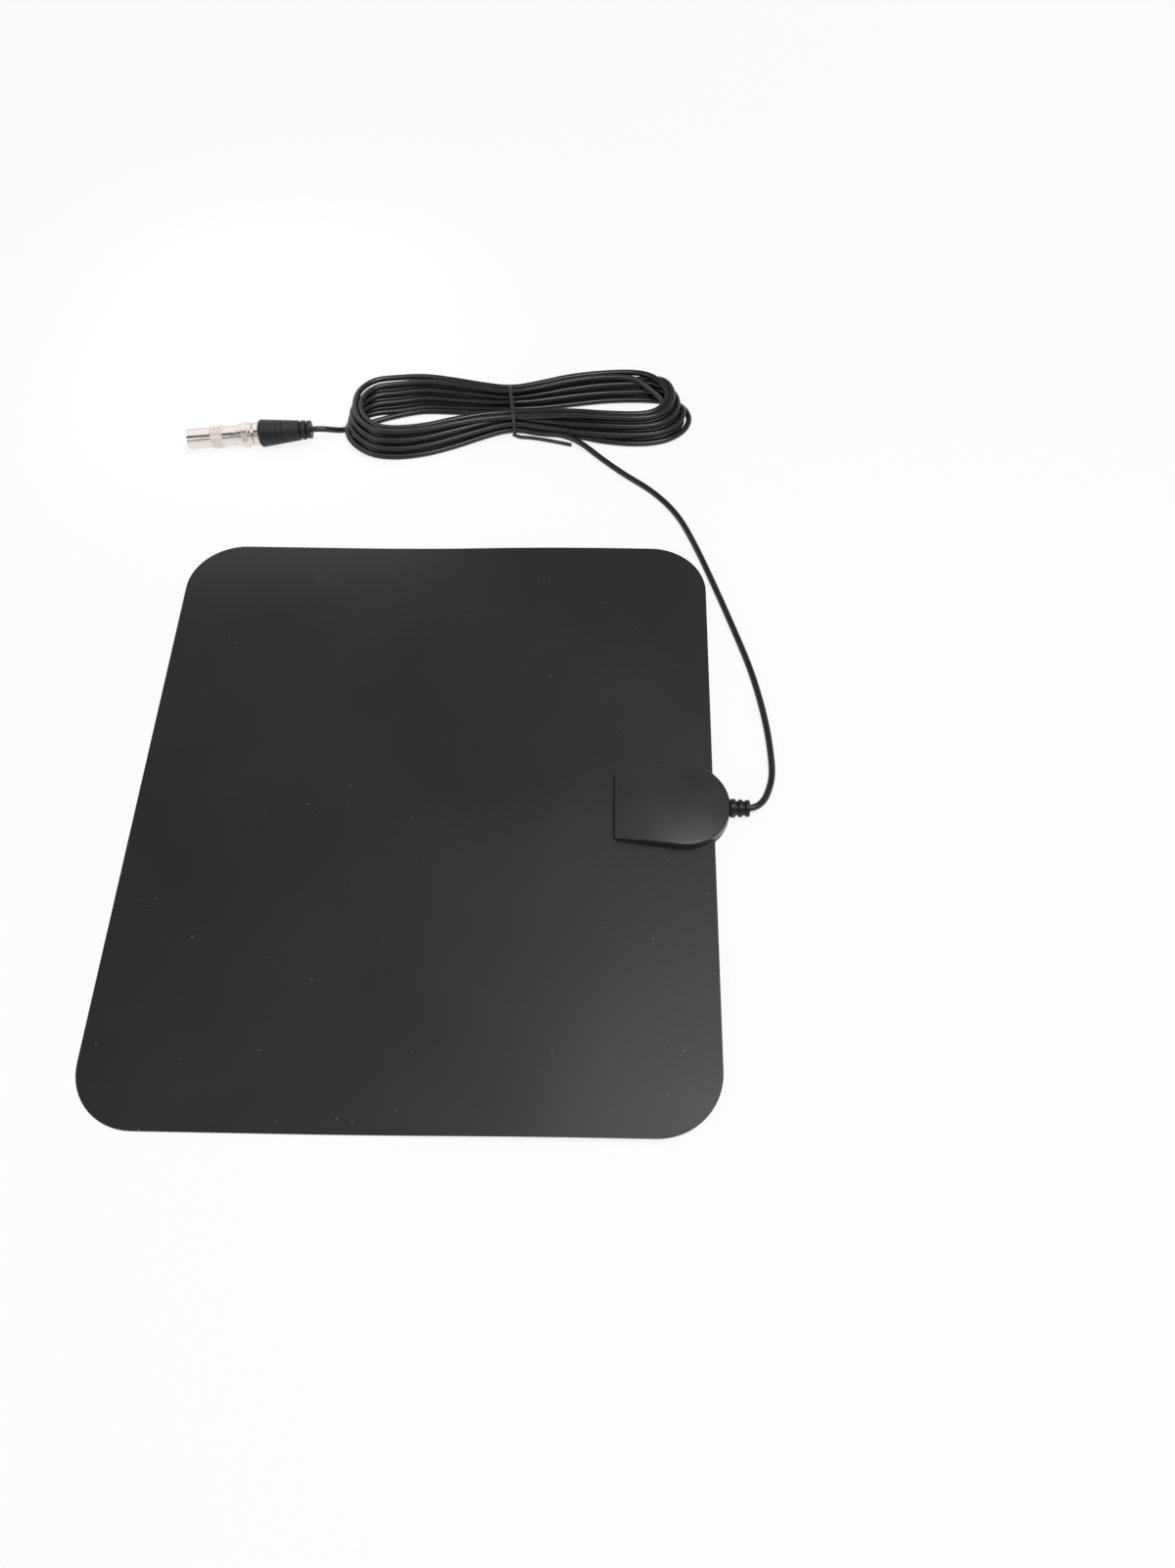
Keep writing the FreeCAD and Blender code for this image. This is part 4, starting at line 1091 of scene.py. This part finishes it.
@dataclass
class Studio:
    """Camera, floor, lamps and surroundings.

    Attributes:
        image: Width and height of the photograph, in pixels.
        focal: Focal length, in pixels.
        eye: The camera's place, in metres.
        pitch_deg: How far the camera looks down.
        yaw_deg: How far it is turned to the left.
        roll_deg: How far it is rolled.
        sensor: Long side of the camera's sensor, in millimetres.
        floor_size: Side of the floor, in metres.
        floor_drop: Height of the floor under the part, in metres.
        floor_glow: Share of the floor's look that is plain white.
    """

    image: tuple[int, int] = (1200, 1602)
    focal: float = 1300.7
    eye: Point = (0.0620, -0.2515, 0.4418)
    pitch_deg: float = 59.30
    yaw_deg: float = 0.93
    roll_deg: float = 0.15
    sensor: float = 36.0
    floor_size: float = 60.0
    floor_drop: float = 0.0002
    floor_glow: float = 0.85

    # Nearest distance that the camera shows.
    NEAR_CLIP: ClassVar[float] = 0.01
    WHITE: ClassVar[Colour] = (1.0, 1.0, 1.0, 1.0)
    FLOOR_COLOUR: ClassVar[Colour] = (0.95, 0.95, 0.95, 1.0)
    # Distances from the middle between which the floor becomes plain white.
    SWEEP_EDGE: ClassVar[tuple[float, float]] = (0.4, 1.2)
    # Heights between which the room goes from white to the ceiling's light.
    CEILING_RISE: ClassVar[tuple[float, float]] = (0.05, 0.5)
    CEILING_LIGHT: ClassVar[float] = 0.26
    # Closeness to the camera's direction between which the room goes to the dark side's share of light.
    DARK_SIDE: ClassVar[tuple[float, float]] = (0.72, 0.95)
    DARK_LIGHT: ClassVar[float] = 0.12
    # Each lamp: name, place, what it points at, its sides and its power in watts.
    LAMPS: ClassVar[tuple[tuple[str, Point, Point, tuple[float, float], float], ...]] = (
        ("key_softbox", (0.34, -0.05, 0.95), (0.08, 0.0, 0.0), (0.5, 0.5), 6.4),
        ("near_softbox", (-0.70, -0.60, 0.70), (0.0, 0.1, 0.0), (0.5, 0.5), 2.4),
        ("plug_card", (-0.112, 0.27, 0.07), (-0.112, 0.27, 0.0), (0.16, 0.18), 0.08),
    )

    def camera(self) -> None:
        """Sets the camera where the photograph was taken from."""
        pitch = math.radians(self.pitch_deg)
        yaw = math.radians(self.yaw_deg)
        right = Vector((math.cos(yaw), math.sin(yaw), 0.0))
        level = math.cos(pitch)
        forward = Vector((-math.sin(yaw) * level, math.cos(yaw) * level, -math.sin(pitch)))
        turn = Matrix.Rotation(math.radians(self.roll_deg), 3, -forward)
        right = turn @ right
        axes = Matrix((right, right.cross(forward), -forward)).transposed()
        data = bpy.data.cameras.new("photograph_view")
        data.sensor_width = self.sensor
        data.lens = self.focal / max(self.image) * self.sensor
        data.clip_start = self.NEAR_CLIP
        camera = bpy.data.objects.new("photograph_view", data)
        camera.matrix_world = Matrix.Translation(self.eye) @ axes.to_4x4()
        bpy.context.collection.objects.link(camera)
        bpy.context.scene.camera = camera

    def seen(self, sketch: NodeSketch) -> bpy.types.NodeSocket:
        """Marks the rays that show the background: from the camera, off metal and through glass.

        Args:
            sketch: The tree to draw in.

        Returns:
            Socket that is 1 for those rays.
        """
        path = sketch.add("ShaderNodeLightPath").outputs
        mirrored = sketch.math("MAXIMUM", path["Is Glossy Ray"], path["Is Transmission Ray"])
        return sketch.math("MAXIMUM", path["Is Camera Ray"], mirrored)

    def floor(self) -> None:
        """Lays the plain white floor, which keeps the part's shadow."""
        bpy.ops.object.select_all(action="DESELECT")
        bpy.ops.mesh.primitive_plane_add(size=self.floor_size, location=(0.0, 0.0, -self.floor_drop))
        floor = bpy.context.object
        floor.name = "studio_floor"
        bpy.ops.object.transform_apply(location=True, rotation=True, scale=True)
        material, sketch = empty_material("white_sweep")
        paper = sketch.add("ShaderNodeBsdfDiffuse", {"Color": self.FLOOR_COLOUR})
        glow = sketch.add("ShaderNodeEmission", {"Color": self.WHITE, "Strength": 1.0})
        place = sketch.add("ShaderNodeTexCoord").outputs["Object"]
        distance = sketch.add("ShaderNodeVectorMath", {0: place}, operation="LENGTH").outputs["Value"]
        glow_share = sketch.ramp(distance, *self.SWEEP_EDGE, self.floor_glow, 1.0)
        share = sketch.math("MULTIPLY", self.seen(sketch), glow_share)
        mixed = sketch.add("ShaderNodeMixShader", {0: share, 1: paper.outputs[0], 2: glow.outputs[0]})
        sketch.add("ShaderNodeOutputMaterial", {"Surface": mixed.outputs[0]})
        floor.data.materials.append(material)

    def lamps(self) -> None:
        """Hangs the soft lamps."""
        for name, place, target, sides, watts in self.LAMPS:
            data = bpy.data.lights.new(name, "AREA")
            data.shape = "RECTANGLE"
            data.size, data.size_y = sides
            data.energy = watts
            lamp = bpy.data.objects.new(name, data)
            lamp.visible_camera = False
            aim = (Vector(target) - Vector(place)).to_track_quat("-Z", "Y")
            lamp.matrix_world = Matrix.Translation(place) @ aim.to_matrix().to_4x4()
            bpy.context.collection.objects.link(lamp)

    def surroundings(self) -> None:
        """Makes the room white where it shows, with a dim ceiling and a dark side behind the camera."""
        world = bpy.data.worlds.new("studio_room")
        world.use_nodes = True
        world.node_tree.nodes.clear()
        sketch = NodeSketch(world.node_tree)
        direction = sketch.add("ShaderNodeTexCoord").outputs["Generated"]
        height = sketch.add("ShaderNodeSeparateXYZ", {0: direction}).outputs["Z"]
        ceiling = sketch.ramp(height, *self.CEILING_RISE, 1.0, self.CEILING_LIGHT)
        toward_camera = sketch.dot(direction, Vector(self.eye).normalized())
        dark_side = sketch.ramp(toward_camera, *self.DARK_SIDE, 1.0, self.DARK_LIGHT)
        room = sketch.math("MULTIPLY", ceiling, dark_side)
        path = sketch.add("ShaderNodeLightPath").outputs
        shown = sketch.math("MAXIMUM", path["Is Camera Ray"], path["Is Transmission Ray"])
        strength = sketch.math("MAXIMUM", room, shown)
        light = sketch.add("ShaderNodeBackground", {"Color": self.WHITE, "Strength": strength})
        sketch.add("ShaderNodeOutputWorld", {"Surface": light.outputs[0]})
        bpy.context.scene.world = world

    def build(self) -> None:
        """Builds the whole studio."""
        self.camera()
        self.floor()
        self.lamps()
        self.surroundings()
        bpy.context.scene.view_settings.view_transform = "Standard"


@dataclass
class FlatAerial:
    """The whole aerial: its sheet, housing, lead, tie and plug."""

    jacket: PlasticFinish = PlasticFinish(
        "black_cable_jacket", (0.006, 0.006, 0.0063, 1.0), (0.0085, 0.0085, 0.0088, 1.0), (0.27, 0.35),
        grain=3000.0, bump=0.05, drift=70.0, gloss=0.55,
    )
    coating: PlasticFinish = PlasticFinish(
        "tie_coating", (0.017, 0.017, 0.0175, 1.0), (0.024, 0.024, 0.0245, 1.0), (0.42, 0.52),
        grain=1500.0, bump=0.3, drift=90.0,
    )

    def build(self) -> None:
        """Builds the lead and the tie, and dresses every solid."""
        groups = SharedGroups.build()
        hank = TiedHank()
        ridges = AerialPlug().finish(groups)
        LOG.info("%s has %d faces", ridges.name, len(ridges.data.polygons))
        lead = AerialLead(hank).build(self.jacket.material(groups), ridges)
        LOG.info("%s has %d control points", lead.name, len(lead.data.splines[0].points))
        tie = TwistTie(hank).build(self.coating.material(groups))
        LOG.info("%s has %d faces", tie.name, len(tie.data.polygons))
        FilmSheet().finish(groups)
        FeedHousing().finish(groups)


def main() -> None:
    """Builds the studio and the aerial."""
    logging.basicConfig(level=logging.INFO, format="%(name)s: %(message)s")
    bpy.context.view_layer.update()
    Studio().build()
    FlatAerial().build()


if __name__ == "__main__":
    main()
